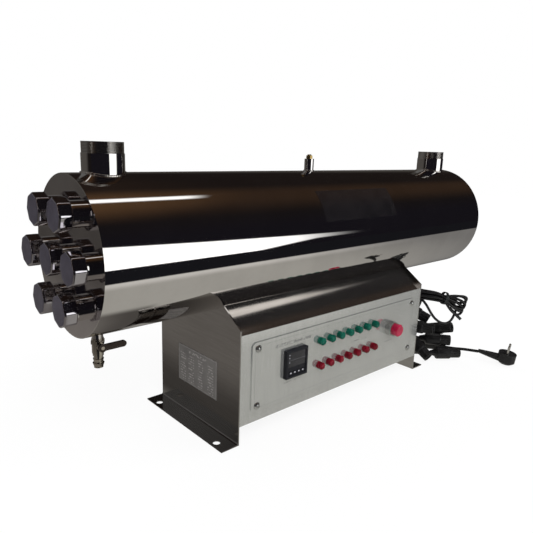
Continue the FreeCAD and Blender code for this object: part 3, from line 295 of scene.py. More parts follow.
# a copy of a finish where a mask, worked out from the object's own x, y and z, lays another colour
def makeMasked(name, base, places, mark, roughness):
    material = makeFinish(name, *finishes[base])
    tree = material.node_tree
    shader = tree.nodes["Principled BSDF"]
    place = put(tree, "ShaderNodeTexCoord").outputs["Object"]
    inMillimetres = put(tree, "ShaderNodeVectorMath", {0: place, 1: (1 / mm, 1 / mm, 1 / mm)},
                        operation="MULTIPLY").outputs[0]
    spot = put(tree, "ShaderNodeSeparateXYZ", {0: inMillimetres}).outputs
    mask = places(tree, spot)
    plain = shader.inputs["Base Color"].links[0].from_socket
    sheen = shader.inputs["Roughness"].links[0].from_socket
    tree.links.new(mixColour(tree, mask, plain, (*mark, 1)), shader.inputs["Base Color"])
    share = put(tree, "ShaderNodeMix", {0: mask, 3: roughness}, data_type="FLOAT")
    tree.links.new(sheen, share.inputs[2])
    tree.links.new(share.outputs[0], shader.inputs["Roughness"])
    return material


# one between low and high, with soft edges
def between(tree, value, low, high, soft=0.15):
    return sums(tree, "MULTIPLY", ramp(tree, value, low - soft, low + soft),
                ramp(tree, value, high - soft, high + soft, 1.0, 0.0))


# product of masks: inside all of them
def both(tree, first, *others):
    for other in others:
        first = sums(tree, "MULTIPLY", first, other)
    return first


# largest of masks: inside any of them
def either(tree, first, *others):
    for other in others:
        first = sums(tree, "MAXIMUM", first, other)
    return first


# broken strokes of no meaning: noise cut high, drawn out a little along the row
def dashes(tree, spot, axis, seed):
    drawn = put(tree, "ShaderNodeCombineXYZ", {0: sums(tree, "MULTIPLY", spot[axis], 0.28),
                                               1: sums(tree, "MULTIPLY", spot[2], 0.2), 2: seed}).outputs[0]
    noise = put(tree, "ShaderNodeTexNoise", {"Vector": drawn, "Scale": 1.0, "Detail": 1.0}).outputs[0]
    return ramp(tree, noise, 0.47, 0.53)


# a box of two ranges, in the plane of axis and z
def panelBox(tree, spot, axis, sides, heights, soft=0.15):
    return both(tree, between(tree, spot[axis], *sides, soft), between(tree, spot[2], *heights, soft))


# a line: the box less the box that is smaller by thick on every side
def frameLine(tree, spot, axis, sides, heights, thick=0.8):
    inner = panelBox(tree, spot, axis, (sides[0] + thick, sides[1] - thick),
                     (heights[0] + thick, heights[1] - thick))
    return sums(tree, "SUBTRACT", panelBox(tree, spot, axis, sides, heights), inner)


labelPrint = {
    "rowStart": 57.0, "rowPitch": 4.6, "stroke": (1.2, 3.3), "rows": (58, 106),
    "columns": ((33, 49), (9, 25), (-17, -3), (-46, -30)),
    "heading": ((-26, 26), (110, 114.5)),
    "edge": ((-53, 53), (55.4, 118.6)),
}


# rows of strokes in four columns, with a heading and a rule round them
def labelMarks(tree, spot):
    row = sums(tree, "MODULO", sums(tree, "SUBTRACT", spot[2], labelPrint["rowStart"]),
               labelPrint["rowPitch"])
    rows = both(tree, between(tree, row, *labelPrint["stroke"], 0.4),
                between(tree, spot[2], *labelPrint["rows"]))
    columns = either(tree, *[between(tree, spot[1], *sides) for sides in labelPrint["columns"]])
    heading = panelBox(tree, spot, 1, *labelPrint["heading"])
    strokes = both(tree, either(tree, both(tree, rows, columns), heading), dashes(tree, spot, 1, 3.0))
    return either(tree, sums(tree, "MULTIPLY", strokes, 0.8),
                  sums(tree, "MULTIPLY", frameLine(tree, spot, 1, *labelPrint["edge"]), 0.5))


timerPrint = {
    "keyStart": 126.5 + 9.2 * 4,  # from the timer's centre, a whole number of keys to the left
    "keyPitch": 9.2, "keyBar": (3.0, 6.2), "keyHeights": (95.9, 97.9),
    "rule": (118.3, 119.0),
    "marks": (-144.5, -142.0), "markHeights": ((127.2, 128.8), (122.4, 124.0), (114.6, 116.2)),
}


# one short white bar in the middle of each timer key
def keyMarks(tree, spot):
    step = sums(tree, "MODULO", sums(tree, "ADD", spot[0], timerPrint["keyStart"]), timerPrint["keyPitch"])
    return both(tree, between(tree, step, *timerPrint["keyBar"], 0.3),
                between(tree, spot[2], *timerPrint["keyHeights"], 0.3))


# a rule between two windows and three small marks at their left
def displayMarks(tree, spot):
    rule = sums(tree, "MULTIPLY", between(tree, spot[2], *timerPrint["rule"], 0.2), 0.2)
    heights = either(tree, *[between(tree, spot[2], *span, 0.3) for span in timerPrint["markHeights"]])
    left = both(tree, between(tree, spot[0], *timerPrint["marks"], 0.3), heights)
    return either(tree, rule, sums(tree, "MULTIPLY", left, 0.7))


platePrint = {
    "strokes": (((-172, -84), (144.5, 150)), ((20, 62), (111, 113.2)),
                ((-148, -108), (78.4, 80.6)), ((124, 148), (88, 90.4))),
    "edge": ((-211.4, 211.4), (53.6, 157.4)),
}


# faint strokes over the timer, over the lamps and beside the button, and a line inside the plate's edge
def panelMarks(tree, spot):
    strokes = either(tree, *[panelBox(tree, spot, 0, *box) for box in platePrint["strokes"]])
    strokes = sums(tree, "MULTIPLY", both(tree, strokes, dashes(tree, spot, 0, 8.0)), 0.6)
    return either(tree, strokes, sums(tree, "MULTIPLY", frameLine(tree, spot, 0, *platePrint["edge"]), 0.3))


# the top fifteen millimetres of each port, where the thread is cut
def threadMarks(tree, spot):
    return ramp(tree, spot[2], layout["threadStart"] - 0.3, layout["threadStart"] + 0.3)


# a wave along z above the thread's start, used as a bump
def cutThread(tree, pitch=1.9, depth=0.1):
    place = put(tree, "ShaderNodeTexCoord").outputs["Object"]
    height = put(tree, "ShaderNodeSeparateXYZ", {0: place}).outputs[2]
    start = layout["threadStart"] * mm
    wave = sums(tree, "SINE", sums(tree, "MULTIPLY", height, 2 * math.pi / (pitch * mm)))
    ridge = sums(tree, "MULTIPLY", wave, ramp(tree, height, start - 0.3 * mm, start + 0.3 * mm))
    bump = put(tree, "ShaderNodeBump", {"Strength": 1.0, "Distance": depth * mm, "Height": ridge}).outputs[0]
    tree.links.new(bump, tree.nodes["Principled BSDF"].inputs["Normal"])


finish = {name: makeFinish(name, *values) for name, values in finishes.items()}
finish["label_film"] = makeMasked("label_film", "label_ground", labelMarks, (0.46, 0.44, 0.42), 0.4)
finish["key_plastic"] = makeMasked("key_plastic", "timer_plastic", keyMarks, (0.5, 0.5, 0.54), 0.4)
finish["display_window"] = makeMasked("display_window", "timer_window", displayMarks, (0.34, 0.34, 0.38), 0.3)
finish["plate_print"] = makeMasked("plate_print", "panel_steel", panelMarks, (0.30, 0.30, 0.31), 0.3)
finish["port_steel"] = makeMasked("port_steel", "polished_steel", threadMarks, (0.52, 0.50, 0.47), 0.16)
cutThread(finish["port_steel"].node_tree)
finish["quartz"] = makeGlass("quartz", (0.95, 0.97, 0.98), 0.02, 1.46)
finish["lamp_glass"] = makeGlass("lamp_glass", (0.92, 0.95, 0.98), 0.05, 1.5)
print("finishes made:", len(finish))


# cords: the lamp leads, their hank and the mains lead

leadShape = {
    "diameter": 5.4,
    "bundlePitch": 5.0,          # strand to strand in the hank
    "bushing": (248, 55, 150),
    "loopWidth": (9.5, 12.5, 10.5, 13, 9, 11.5, 12),     # half width of each loop of the fan
    "fanTips": ((379, -142, 137), (366, -138, 103)),    # tips of the first and the last loop
    "fanTilt": 38,               # the loops lean this far either way, in degrees
    "hiddenCentre": (266, 86, 150),      # where the strands turn back, behind the end plate
    "backRadius": 12.5,
    "backStep": 1.2,             # the hidden turns grow by this in threes
}
hankLine = [(266, 28, 151), (267, -30, 155), (284, -84, 153), (322, -111, 146)]
leadDrops = [
    [(267, 50, 151), (286, 50, 143), (304, 44, 116), (313, 18, 76), (314, -8, 36), (309, -36, 11),
     (305, -64, 6), (308, -86, 11.5), (319.6, -100.2, 14.2)],
    [(270, -42, 154), (282, -34, 141), (288, -24, 116), (291, -18, 86), (295, -30, 61), (296, -53.8, 46.6)],
    [(282, -80, 153), (302, -74, 143), (328, -62, 124), (336, -48, 99), (326, -37, 76), (313, -38, 56),
     (311, -52, 43), (320.2, -69.6, 41)],
    [(268, -16, 153), (292, -12, 147), (318, -12, 130), (338, -12, 100), (346, -14, 66), (349, -30, 41),
     (354.4, -57.6, 49.5)],
    [(266, 24, 152), (281, 23, 144), (286, 17, 125), (283, 3, 105), (277, -14, 87), (277, -32, 76),
     (282.5, -49.2, 74.3)],
    [(266, 12, 152), (276, 10, 148), (289, 2, 137), (297, -12, 122), (301.3, -28.3, 114.1)],
    [(267, 32, 151), (292, 32, 143), (318, 28, 116), (331, 18, 72), (337, 0, 32), (343, -22, 14),
     (354.2, -40.6, 14.2)],
]
slackLine = [(285, -86, 143), (293, -94, 132), (299, -101, 117), (308, -108, 101), (322, -115, 89),
             (339, -121, 84), (351, -126, 90), (356, -129, 104)]
slackReturn = [(359, -131, 117), (353, -128, 129), (340, -121, 138)]
connectorSpots = [
    ((374, -141, 14.2), (-0.8, 0.6, 0)),
    ((296, -113, 13.2), (0, 0.87, 0.49)),
    ((361, -124, 41), (-0.6, 0.8, 0)),
    ((368, -121, 70), (-0.2, 0.93, -0.3)),
    ((303, -114, 77), (-0.3, 0.95, -0.04)),
    ((325, -86, 87), (-0.35, 0.85, 0.4)),
    ((395, -95, 14.2), (-0.6, 0.8, 0)),
]
mainsShape = {
    "diameter": 6.5,
    "entry": [(268, 49, 44), (279, 49, 42), (300, 49, 29), (322, 49, 16)],
    "coilCentre": (322, 84),
    "turns": [(34.8, 16.3), (41.4, 9.8), (34.8, 9.8), (28.2, 9.8), (28.2, 3.4), (34.8, 3.4), (41.4, 3.4)],
    "turnsInAll": 6.83,
    "run": [(292, 66, 3.4), (306, 42, 3.4), (322, 16, 3.4), (344, -8, 3.4), (372, -25, 3.4), (395, -52, 3.4),
            (405, -80, 3.6), (407, -108, 6), (408, -137, 13), (413.6, -166.4, 15.7)],
}


# the count places nearest the middle of a hexagonal net of that pitch
def bundleSpots(count, pitch):
    i, j = np.meshgrid(np.arange(-4, 5), np.arange(-4, 5))
    spots = np.stack([(i + j / 2).ravel(), (j * math.sqrt(3) / 2).ravel()], -1) * pitch
    return spots[np.argsort((spots ** 2).sum(1) + 0.01 * spots[:, 0])][:count]


# the hank's line moved sideways by one strand's spot, turned slowly along the way
def alongHank(spot, twist=0.5):
    line = np.array(hankLine, float)
    ways = np.gradient(line, axis=0)
    ways /= np.linalg.norm(ways, axis=1)[:, None]
    level = np.cross(ways, (0, 0, 1))
    level /= np.linalg.norm(level, axis=1)[:, None]
    rise = np.cross(level, ways)
    angle = np.linspace(0, twist, len(line))
    first = spot[0] * np.cos(angle) - spot[1] * np.sin(angle)
    second = spot[0] * np.sin(angle) + spot[1] * np.cos(angle)
    return line + level * first[:, None] + rise * second[:, None]


# a teardrop: out along start to tip on one side, round the tip and back on the other
def fanLoop(start, tip, half, tilt):
    way, reach = unit(tip - start), np.linalg.norm(tip - start)
    level, rise = across(way)
    wide = rise * math.cos(tilt) + level * math.sin(tilt)
    along = np.array((0.28, 0.58, 0.84, 0.99, 0.99, 0.84, 0.58, 0.28))
    aside = np.array((0.45, 0.92, 1.0, 0.52, -0.52, -1.0, -0.92, -0.45))
    return start + way * reach * along[:, None] + wide * half * aside[:, None]


# out of the bushing, forwards in the hank, round the fan, back, round the hidden end, forwards, and down
def leadRoute(number):
    count, pitch = len(leadDrops), leadShape["bundlePitch"]
    outSpot, backSpot, lastSpot = bundleSpots(3 * count, pitch)[number::count]
    exitSpot = bundleSpots(count, pitch)[number]
    hole = np.array(leadShape["bushing"], float) + (0, *exitSpot)
    out, back = alongHank(outSpot), alongHank(backSpot)
    share = number / (count - 1)
    tips = np.array(leadShape["fanTips"], float)
    tip = tips[0] * (1 - share) + tips[1] * share + (0, 0, 1.5 * math.sin(5 * number))
    tilt = math.radians(leadShape["fanTilt"]) * math.sin(2.4 * number + 0.6)
    start = (out[-1] + back[-1]) / 2
    loop = fanLoop(start, tip, leadShape["loopWidth"][number], tilt)
    if number == count - 1:      # the last lead hangs out of the hank as a slack line
        out = np.concatenate([out[:2], slackLine[:1]])
        loop = np.concatenate([slackLine[1:], slackReturn])
    drop = np.array(leadDrops[number], float)
    turn = leadShape["backRadius"] + (number % 3) * leadShape["backStep"]
    lean = 0.35 * (number - 3)
    angles = np.radians(np.array((90, 45, 0, -45, -90)))
    side = np.array((math.sin(lean) * 0.55, 0, math.cos(lean)))
    hidden = (np.array(leadShape["hiddenCentre"]) + (0, 1.6 * (number % 4), 0)
              + np.outer(np.cos(angles) * turn, (0, 1, 0)) + np.outer(np.sin(angles) * turn, side))
    joinBack = back[0] * (0.5, 1, 0.5) + hidden[0] * (0.5, 0, 0.5) + (0, 34, 0)
    last = alongHank(lastSpot) - (0, 0, 1)
    last = last[last[:, 1] > drop[0][1] + 18]
    exitWay = [hole, hole + (9, -2.5, 0), (hole + (15.5, -11, 0)) * 0.6 + (out[0] + (0, 16, 0)) * 0.4]
    return np.concatenate([exitWay, out, loop, back[::-1], [joinBack], hidden, last, drop])


# a smooth spline whose control points are the route's points, given in millimetres
def makeCord(name, route, diameter, finishName):
    data = bpy.data.curves.new(name, "CURVE")
    data.dimensions, data.resolution_u = "3D", 10
    data.bevel_depth, data.bevel_resolution, data.use_fill_caps = diameter * mm / 2, 3, True
    spline = data.splines.new("NURBS")
    route = np.asarray(route, float) * mm
    spline.points.add(len(route) - 1)
    spline.points.foreach_set("co", np.column_stack([route, np.ones(len(route))]).ravel())
    spline.order_u, spline.use_endpoint_u = 3, True
    cord = bpy.data.objects.new(name, data)
    bpy.context.scene.collection.objects.link(cord)
    data.materials.append(finish[finishName])
    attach(cord, "chassis")
    return cord


# turns about the coil's centre, sixteen points each, sliding from one layer and radius to the next
def coilRoute():
    shape = mainsShape
    turn = np.arange(0.06, shape["turnsInAll"], 1 / 16)
    layers = np.array(shape["turns"] + [shape["turns"][-1]])
    step = np.clip((turn % 1 - 0.72) / 0.28, 0, 1)[:, None]
    spot = layers[turn.astype(int)] * (1 - step) + layers[turn.astype(int) + 1] * step
    angle = np.radians(-90 + 360 * turn)
    radius = spot[:, 0] * (1 + 0.012 * np.sin(2.3 * angle))
    return np.column_stack([shape["coilCentre"][0] + radius * np.cos(angle),
                            shape["coilCentre"][1] + radius * np.sin(angle), spot[:, 1]])


# a profile of (radius, distance) turned about a way from start; ribs(distance, angle) scales its radius
def turned(name, profile, start, way, finishName, ribs=None, sides=64):
    profile = np.array(profile, float)
    level, rise = across(way)
    angle = np.linspace(0, 2 * math.pi, sides, endpoint=False)
    radius = np.repeat(profile[:, :1], sides, 1)
    if ribs:
        radius = radius * ribs(profile[:, 1:], angle)
    points = (np.asarray(start, float) + profile[:, None, 1:] * unit(way)
              + radius[..., None] * (np.cos(angle)[:, None] * level + np.sin(angle)[:, None] * rise)) * mm
    faces = gridFaces(len(profile), sides)[:, ::-1].tolist()
    return addPiece(name, points, faces, finish[finishName])


# lamp holder: radius and distance from the mouth, in millimetres
holderProfile = [(0.01, 9.2), (4, 9.2), (7.8, 9.1), (8.3, 8.6), (8.5, 1.2), (8.8, 0.4), (9.4, 0), (10.6, 0),
                 (11.2, 0.3), (11.5, 1.1), (11.5, 1.8), (11.5, 3.4), (11.5, 20.2), (11.5, 21.4), (11.6, 21.8),
                 (12.4, 22.2), (13.2, 23), (13.6, 24), (13.6, 25), (13.65, 38), (13.6, 51), (13.5, 52),
                 (13.1, 53), (12.3, 53.8), (11, 54.2), (9, 54.4), (8.4, 54.9), (8.2, 56.2), (7.0, 56.8),
                 (6.9, 57.4), (7.5, 58), (7.3, 59.4), (6.2, 60), (6.1, 60.6), (6.6, 61.2), (6.4, 62.6),
                 (5.4, 63.2), (5.3, 63.8), (5.7, 64.4), (5.5, 65.8), (4.7, 66.4), (4.2, 67.6), (3.6, 68),
                 (1.5, 68), (0.01, 68)]


# ten rounded ridges along the mouth end: a raised cosine, faded in and out along it
def holderRibs(distance, angle):
    share = np.clip((distance - 1.1) / 1.6, 0, 1) * np.clip((21.6 - distance) / 1.4, 0, 1)
    return 1 - 0.12 * share * (0.5 - 0.5 * np.cos(10 * angle)) ** 2


# a strap: a rounded flat section carried along a line, its width lying along wide
def band(name, line, wide, width, thickness, finishName, closed=False):
    line, wide = np.asarray(line, float), unit(wide)
    ways = (np.roll(line, -1, 0) - np.roll(line, 1, 0)) if closed else np.gradient(line, axis=0)
    ways /= np.linalg.norm(ways, axis=1)[:, None]
    outward = np.cross(ways, wide)
    outward /= np.linalg.norm(outward, axis=1)[:, None]
    sides = 16
    angle = np.linspace(0, 2 * math.pi, sides, endpoint=False)
    flat = np.sign(np.cos(angle)) * np.abs(np.cos(angle)) ** 0.35 * width / 2
    thick = np.sign(np.sin(angle)) * np.abs(np.sin(angle)) ** 0.6 * thickness / 2
    points = (line[:, None] + flat[None, :, None] * wide + thick[None, :, None] * outward[:, None]) * mm
    faces = (gridFaces(len(line) + closed, sides) % (len(line) * sides)).tolist()
    if not closed:
        faces += [list(range(sides))[::-1], list(range((len(line) - 1) * sides, len(line) * sides))]
    return addPiece(name, points, faces, finish[finishName])


leads, holders = [], []
for number, (mouth, way) in enumerate(connectorSpots):
    lead = makeCord(f"leadCord{number + 1}", leadRoute(number), leadShape["diameter"], "cable_jacket")
    holder = turned(f"lampHolder{number + 1}", holderProfile, mouth, way, "black_rubber",
                    holderRibs, sides=80)
    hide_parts(f"lamp_lead_{number + 1}", "lead_hank")
    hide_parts("lamp_connectors")
    leads.append(lead)
    holders.append(holder)

mainsRoute = np.concatenate([mainsShape["entry"], coilRoute(), mainsShape["run"]])
mains = makeCord("mainsCord", mainsRoute, mainsShape["diameter"], "cable_jacket")
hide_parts("mains_lead", "mains_lead_entry", "mains_coil")

hankTieShape = {"centre": (329, -116, 143.5), "way": (28, -18, -9), "radius": 13.2, "width": 7,
                "thickness": 1.3}
strapTailShape = {
    "line": [(344, -122, 121), (350, -127.5, 113), (357, -131, 105.5), (364, -134, 99), (372, -137, 92)],
    "flat": (0.36, -0.44, 0.58),
    "width": 6.5,
    "thickness": 1.3,
}
coilTieShape = {"centre": (356.8, 84, 10.7), "halfWide": 11.6, "halfHigh": 10.0, "width": 6, "thickness": 1.2}
# strain relief: radius and distance from the gland's dome
reliefShape = {
    "start": (259, 49, 44.3),
    "way": (1, 0, -0.12),
    "profile": [(3.3, 0), (5.6, 0), (6.1, 0.6), (6.2, 2), (5.6, 2.6), (5.6, 4), (5.9, 4.6), (5.8, 6),
                (5.1, 6.6), (5.1, 8), (5.4, 8.6), (5.3, 10), (4.6, 10.6), (4.6, 12), (4.9, 12.6), (4.8, 14),
                (4.2, 14.6), (4.1, 18), (3.8, 23), (3.3, 24)],
}
tieRound = np.linspace(0, 2 * math.pi, 40, endpoint=False)
tieWay = unit(hankTieShape["way"])
tieLevel, tieRise = across(tieWay)
tieRing = np.cos(tieRound)[:, None] * tieLevel + np.sin(tieRound)[:, None] * tieRise
hankTie = band("hankTie", np.array(hankTieShape["centre"]) + hankTieShape["radius"] * tieRing, tieWay,
               hankTieShape["width"], hankTieShape["thickness"], "tie_plastic", closed=True)
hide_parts("lead_tie")
band("strapTail", strapTailShape["line"], strapTailShape["flat"], strapTailShape["width"],
     strapTailShape["thickness"], "tie_plastic")
mainsRelief = turned("mainsRelief", reliefShape["profile"], reliefShape["start"], reliefShape["way"],
                     "black_rubber", sides=40)
# the coil's tie is a rounded square: each of cosine and sine keeps its sign and takes its square root
roundSpots = np.stack([np.cos(tieRound), np.sin(tieRound)])
squareSpots = np.abs(roundSpots) ** 0.5 * np.sign(roundSpots)
tieX, tieY, tieZ = coilTieShape["centre"]
coilTieLine = np.column_stack([tieX + coilTieShape["halfWide"] * squareSpots[0],
                               np.full(len(tieRound), float(tieY)),
                               tieZ + coilTieShape["halfHigh"] * squareSpots[1]])
coilTie = band("coilTie", coilTieLine, (0, 1, 0), coilTieShape["width"], coilTieShape["thickness"],
               "tie_plastic", closed=True)
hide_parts("coil_tie")
print("cords laid")

# gland nuts: rounded octagons with a satin face
glandNuts = {
    "start": -458,               # outer face of the socket collars
    "side": [(15.2, 0), (19.4, 0), (20.4, 0.4), (20.9, 1.3), (21, 2.2), (21, 15.6), (20.8, 16.6),
             (20.3, 17.4), (19.4, 17.9)],
    "face": [(19.4, 17.9), (18.6, 18), (14, 18), (8, 17.95), (0.01, 17.9)],
    "corner": 1.062,             # where the corners are capped, as a share of the flat's distance
}
nutAngles = np.radians(60 * np.arange(6))
nutSpots = [(0, 0)] + [(layout["lampCircle"] * math.cos(angle), layout["lampCircle"] * math.sin(angle))
                       for angle in nutAngles]


# Radius over the flat's distance: one over the cosine of the turn from the flat's middle, capped at the
# corners.
def octagon(distance, angle):
    turn = angle % (math.pi / 4) - math.pi / 8
    return np.minimum(1 / np.cos(turn), glandNuts["corner"]) * np.ones_like(distance)


for number, (y, rise) in enumerate(nutSpots):
    nutStart = (glandNuts["start"], y, layout["axisHeight"] + rise)
    for part, look in (("side", "nut_metal"), ("face", "nut_face")):
        piece = turned(f"glandNut{part.title()}{number + 1}", glandNuts[part], nutStart, (-1, 0, 0),
                       look, octagon, sides=96)
        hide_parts("gland_nuts")
print("nuts turned")

# weld beads: a rippled line where each pipe meets the chamber; pipe radius and bead size
weldBeads = {"inlet": (28.5, 1.5), "outlet": (28.5, 1.5), "vent": (8.5, 1.0)}
for name, (radius, size) in weldBeads.items():
    around = np.linspace(0, 2 * math.pi, 240, endpoint=False)
    ripple = radius + 0.35 * size + 0.12 * size * np.sin(around * round(radius * 2.2))
    y = ripple * np.sin(around)
    rise = np.sqrt(layout["shellRadius"] ** 2 - y ** 2) + 0.25 * size
    line = np.column_stack([layout[name] + ripple * np.cos(around), y, layout["axisHeight"] + rise])
    band(f"{name}Bead", line, (0, 0, 1), 1.9 * size, 1.7 * size, "weld_metal", closed=True)

# blank dark film on the chamber's front; its angles go upwards from straight ahead
filmShape = {"ends": (-58, 138), "angles": (17, 47), "stand": 0.25, "rows": 40}
filmLift, filmEnds = np.meshgrid(np.radians(np.linspace(*filmShape["angles"], filmShape["rows"])),
                                 filmShape["ends"], indexing="ij")
filmRadius = layout["shellRadius"] + filmShape["stand"]
filmPoints = np.stack([filmEnds, -filmRadius * np.cos(filmLift),
                       layout["axisHeight"] + filmRadius * np.sin(filmLift)], -1) * mm
addPiece("shellFilm", filmPoints, gridFaces(filmShape["rows"], 2, closed=False).tolist(), finish["film"])
print("beads and film added")


# length of a cord's own line, by adding its evaluated edges
def lineLength(cord):
    bare = cord.data.copy()
    bare.bevel_depth = 0
    probe = bpy.data.objects.new("probe", bare)
    mesh = bpy.data.meshes.new_from_object(probe)
    spots = np.empty(len(mesh.vertices) * 3)
    mesh.vertices.foreach_get("co", spots)
    bpy.data.objects.remove(probe)
    bpy.data.curves.remove(bare)
    bpy.data.meshes.remove(mesh)
    return float(np.linalg.norm(np.diff(spots.reshape(-1, 3), axis=0), axis=1).sum())


for cord in leads + [mains]:
    print(cord.name, round(lineLength(cord), 3))

# material of each CAD node
chosenFinish = {"front_fascia": "panel_steel", "front_cover": "cover_steel", "rear_cover": "cover_steel",
                "instrument_plate": "plate_print", "drain_lever": "lever_steel", "inlet_nipple": "port_steel",
                "outlet_nipple": "port_steel", "timer_display": "display_window"}
chosenFinish.update({f"timer_key_{number}": "key_plastic" for number in (1, 2, 3, 4)})
for part in frame["record"]["subparts"]:
    node = nodes[part["node"]]
    chosen = chosenFinish.get(part["node"], part["material_slot"])
    for place in node.material_slots:
        place.material = finish.get(chosen, finish["cabinet_steel"])


# studio: what polished metal sees is set apart from what lights the object

studio = {
    "panelLight": 1.75,
    "paperEdge": (0.62, 0.60, 0.57),
    "paper": (0.385, 0.375, 0.345),
    "paperFar": (0.20, 0.195, 0.19),
    "frontGround": (0.0095, 0.0095, 0.012),
    "ground": (0.066, 0.060, 0.055),
    "groundNear": (0.21, 0.195, 0.18),
    "backGrey": (0.078, 0.072, 0.066),
    "dark": (0.010, 0.008, 0.008),
    "navy": (0.0085, 0.0075, 0.0105),
    "brown": (0.088, 0.047, 0.023),
    "farGround": (0.08, 0.074, 0.068),
    "backPaper": (0.10, 0.095, 0.09),
    "farPanel": 0.15,
    "stripLight": 1.5,
    "fill": 0.55,                # what the world adds to the lamps on matt things
    "floor": ((-2.5, -1.45), (5, 2.2)),
    "floorDrop": 0.0004,         # the floor lies this far under the feet
}


# the room that polished metal sees, in degrees, and slope as x over z
room = {
    "windowTop": (-70.0, -37.0, 22.5, -1.0),     # turn at two places, then the lift there
    "windowFoot": (-50.0, -43.0, -15.0, -4.0),
    "windowStart": (-84.0, -80.0),
    "windowEnd": (-48.0, -38.0),
    "strip": (84.0, 89.5),       # lift
    "stripEnd": (0.64, 0.73),    # slope
    "farTurn": (92, 172),
    "farLift": (140, 172),
}


# what the world shows: white to the eye, and to polished metal a dark room with a window, a strip and a panel
def makeWorld():
    world = bpy.data.worlds.new("studioWorld")
    bpy.context.scene.world = world
    world.use_nodes = True
    t = world.node_tree
    t.nodes.clear()
    way = put(t, "ShaderNodeSeparateXYZ", {0: put(t, "ShaderNodeTexCoord").outputs["Generated"]}).outputs
    front = sums(t, "MULTIPLY", way[1], -1.0)
    # turn is the compass angle, 0 along +X; lift is 0 in front, 90 overhead and 180 behind
    turn = sums(t, "MULTIPLY", sums(t, "ARCTAN2", way[1], way[0]), 180 / math.pi)
    lift = sums(t, "MULTIPLY", sums(t, "ARCTAN2", way[2], front), 180 / math.pi)
    slope = sums(t, "DIVIDE", way[0], sums(t, "MAXIMUM", way[2], 0.001))
    # window: a wedge that narrows away from the lamp end and fades out
    edges = []
    for edge in ("windowTop", "windowFoot"):
        links = dict(zip(("From Min", "From Max", "To Min", "To Max"), room[edge]), Value=turn)
        edges.append(put(t, "ShaderNodeMapRange", links).outputs[0])
    top, foot = edges
    above, below = sums(t, "SUBTRACT", lift, top), sums(t, "SUBTRACT", lift, foot)
    wedge = sums(t, "MULTIPLY", ramp(t, above, -1.0, 1.0, 1.0, 0.0), ramp(t, below, -1.2, 1.2))
    wedge = sums(t, "MULTIPLY", wedge, sums(t, "MULTIPLY", ramp(t, turn, *room["windowStart"]),
                                            ramp(t, turn, *room["windowEnd"], 1.0, 0.0)))
    # strip overhead, the warm ceiling beside it, and a soft panel on the far side
    strip = sums(t, "MULTIPLY", between(t, lift, *room["strip"], 1.6),
                 ramp(t, slope, *room["stripEnd"], 1.0, 0.0))
    warm = sums(t, "MULTIPLY", ramp(t, lift, 45.0, 80.0), ramp(t, lift, 88.0, 110.0, 1.0, 0.12))
    warm = sums(t, "MULTIPLY", warm, ramp(t, slope, 0.46, 0.9, 1.0, 0.3))
    farSide = sums(t, "MULTIPLY", between(t, turn, *room["farTurn"], 6),
                   between(t, lift, *room["farLift"], 5))
    cool = sums(t, "MULTIPLY", ramp(t, lift, 20.0, 60.0, 1.0, 0.0), ramp(t, lift, -60.0, -30.0))
    behind = sums(t, "MULTIPLY", ramp(t, way[1], 0.2, 0.55), ramp(t, way[2], 0.1, 0.4, 1.0, 0.0))
    colour = mixColour(t, behind, (*studio["dark"], 1), (*studio["backGrey"], 1))
    colour = mixColour(t, cool, colour, (*studio["navy"], 1))
    colour = mixColour(t, warm, colour, (*studio["brown"], 1))
    for mask, light in ((farSide, studio["farPanel"]), (strip, studio["stripLight"]),
                        (wedge, studio["panelLight"])):
        colour = mixColour(t, mask, colour, (light, light, light, 1))
    path = put(t, "ShaderNodeLightPath").outputs
    seen = put(t, "ShaderNodeBackground", {"Color": (1, 1, 1, 1), "Strength": 1.0}).outputs[0]
    mirrored = put(t, "ShaderNodeBackground", {"Color": colour, "Strength": 1.0}).outputs[0]
    lights = put(t, "ShaderNodeBackground", {"Color": (1, 1, 1, 1), "Strength": studio["fill"]}).outputs[0]
    inner = put(t, "ShaderNodeMixShader", {0: path["Is Glossy Ray"], 1: lights, 2: mirrored}).outputs[0]
    clear = sums(t, "MAXIMUM", path["Is Camera Ray"], path["Is Transmission Ray"])
    whole = put(t, "ShaderNodeMixShader", {0: clear, 1: inner, 2: seen}).outputs[0]
    t.links.new(whole, put(t, "ShaderNodeOutputWorld").inputs[0])


# where the floor that metal sees changes its tone: a start and an end of each fade, in metres
paperPlan = {
    "underX": (-0.27, -0.22),    # pale paper from here on, under and beyond the cabinet
    "aheadX": (-0.44, -0.40),    # and from here on in front of the cabinet
    "aheadY": (-0.16, -0.10),
    "frontY": (-0.575, -0.545),  # front edge of the paper
    "edgeY": (-0.52, -0.40),
    "farX": (0.1, 1.1),
    "backY": (0.03, 0.30),
    "backShare": 0.72,
    "nearStartX": (-1.0, -0.6),
    "nearEndX": (-0.44, -0.26),
    "farGroundX": (-0.36, -0.24),
    "frontGroundY": (-0.30, -0.20),
}


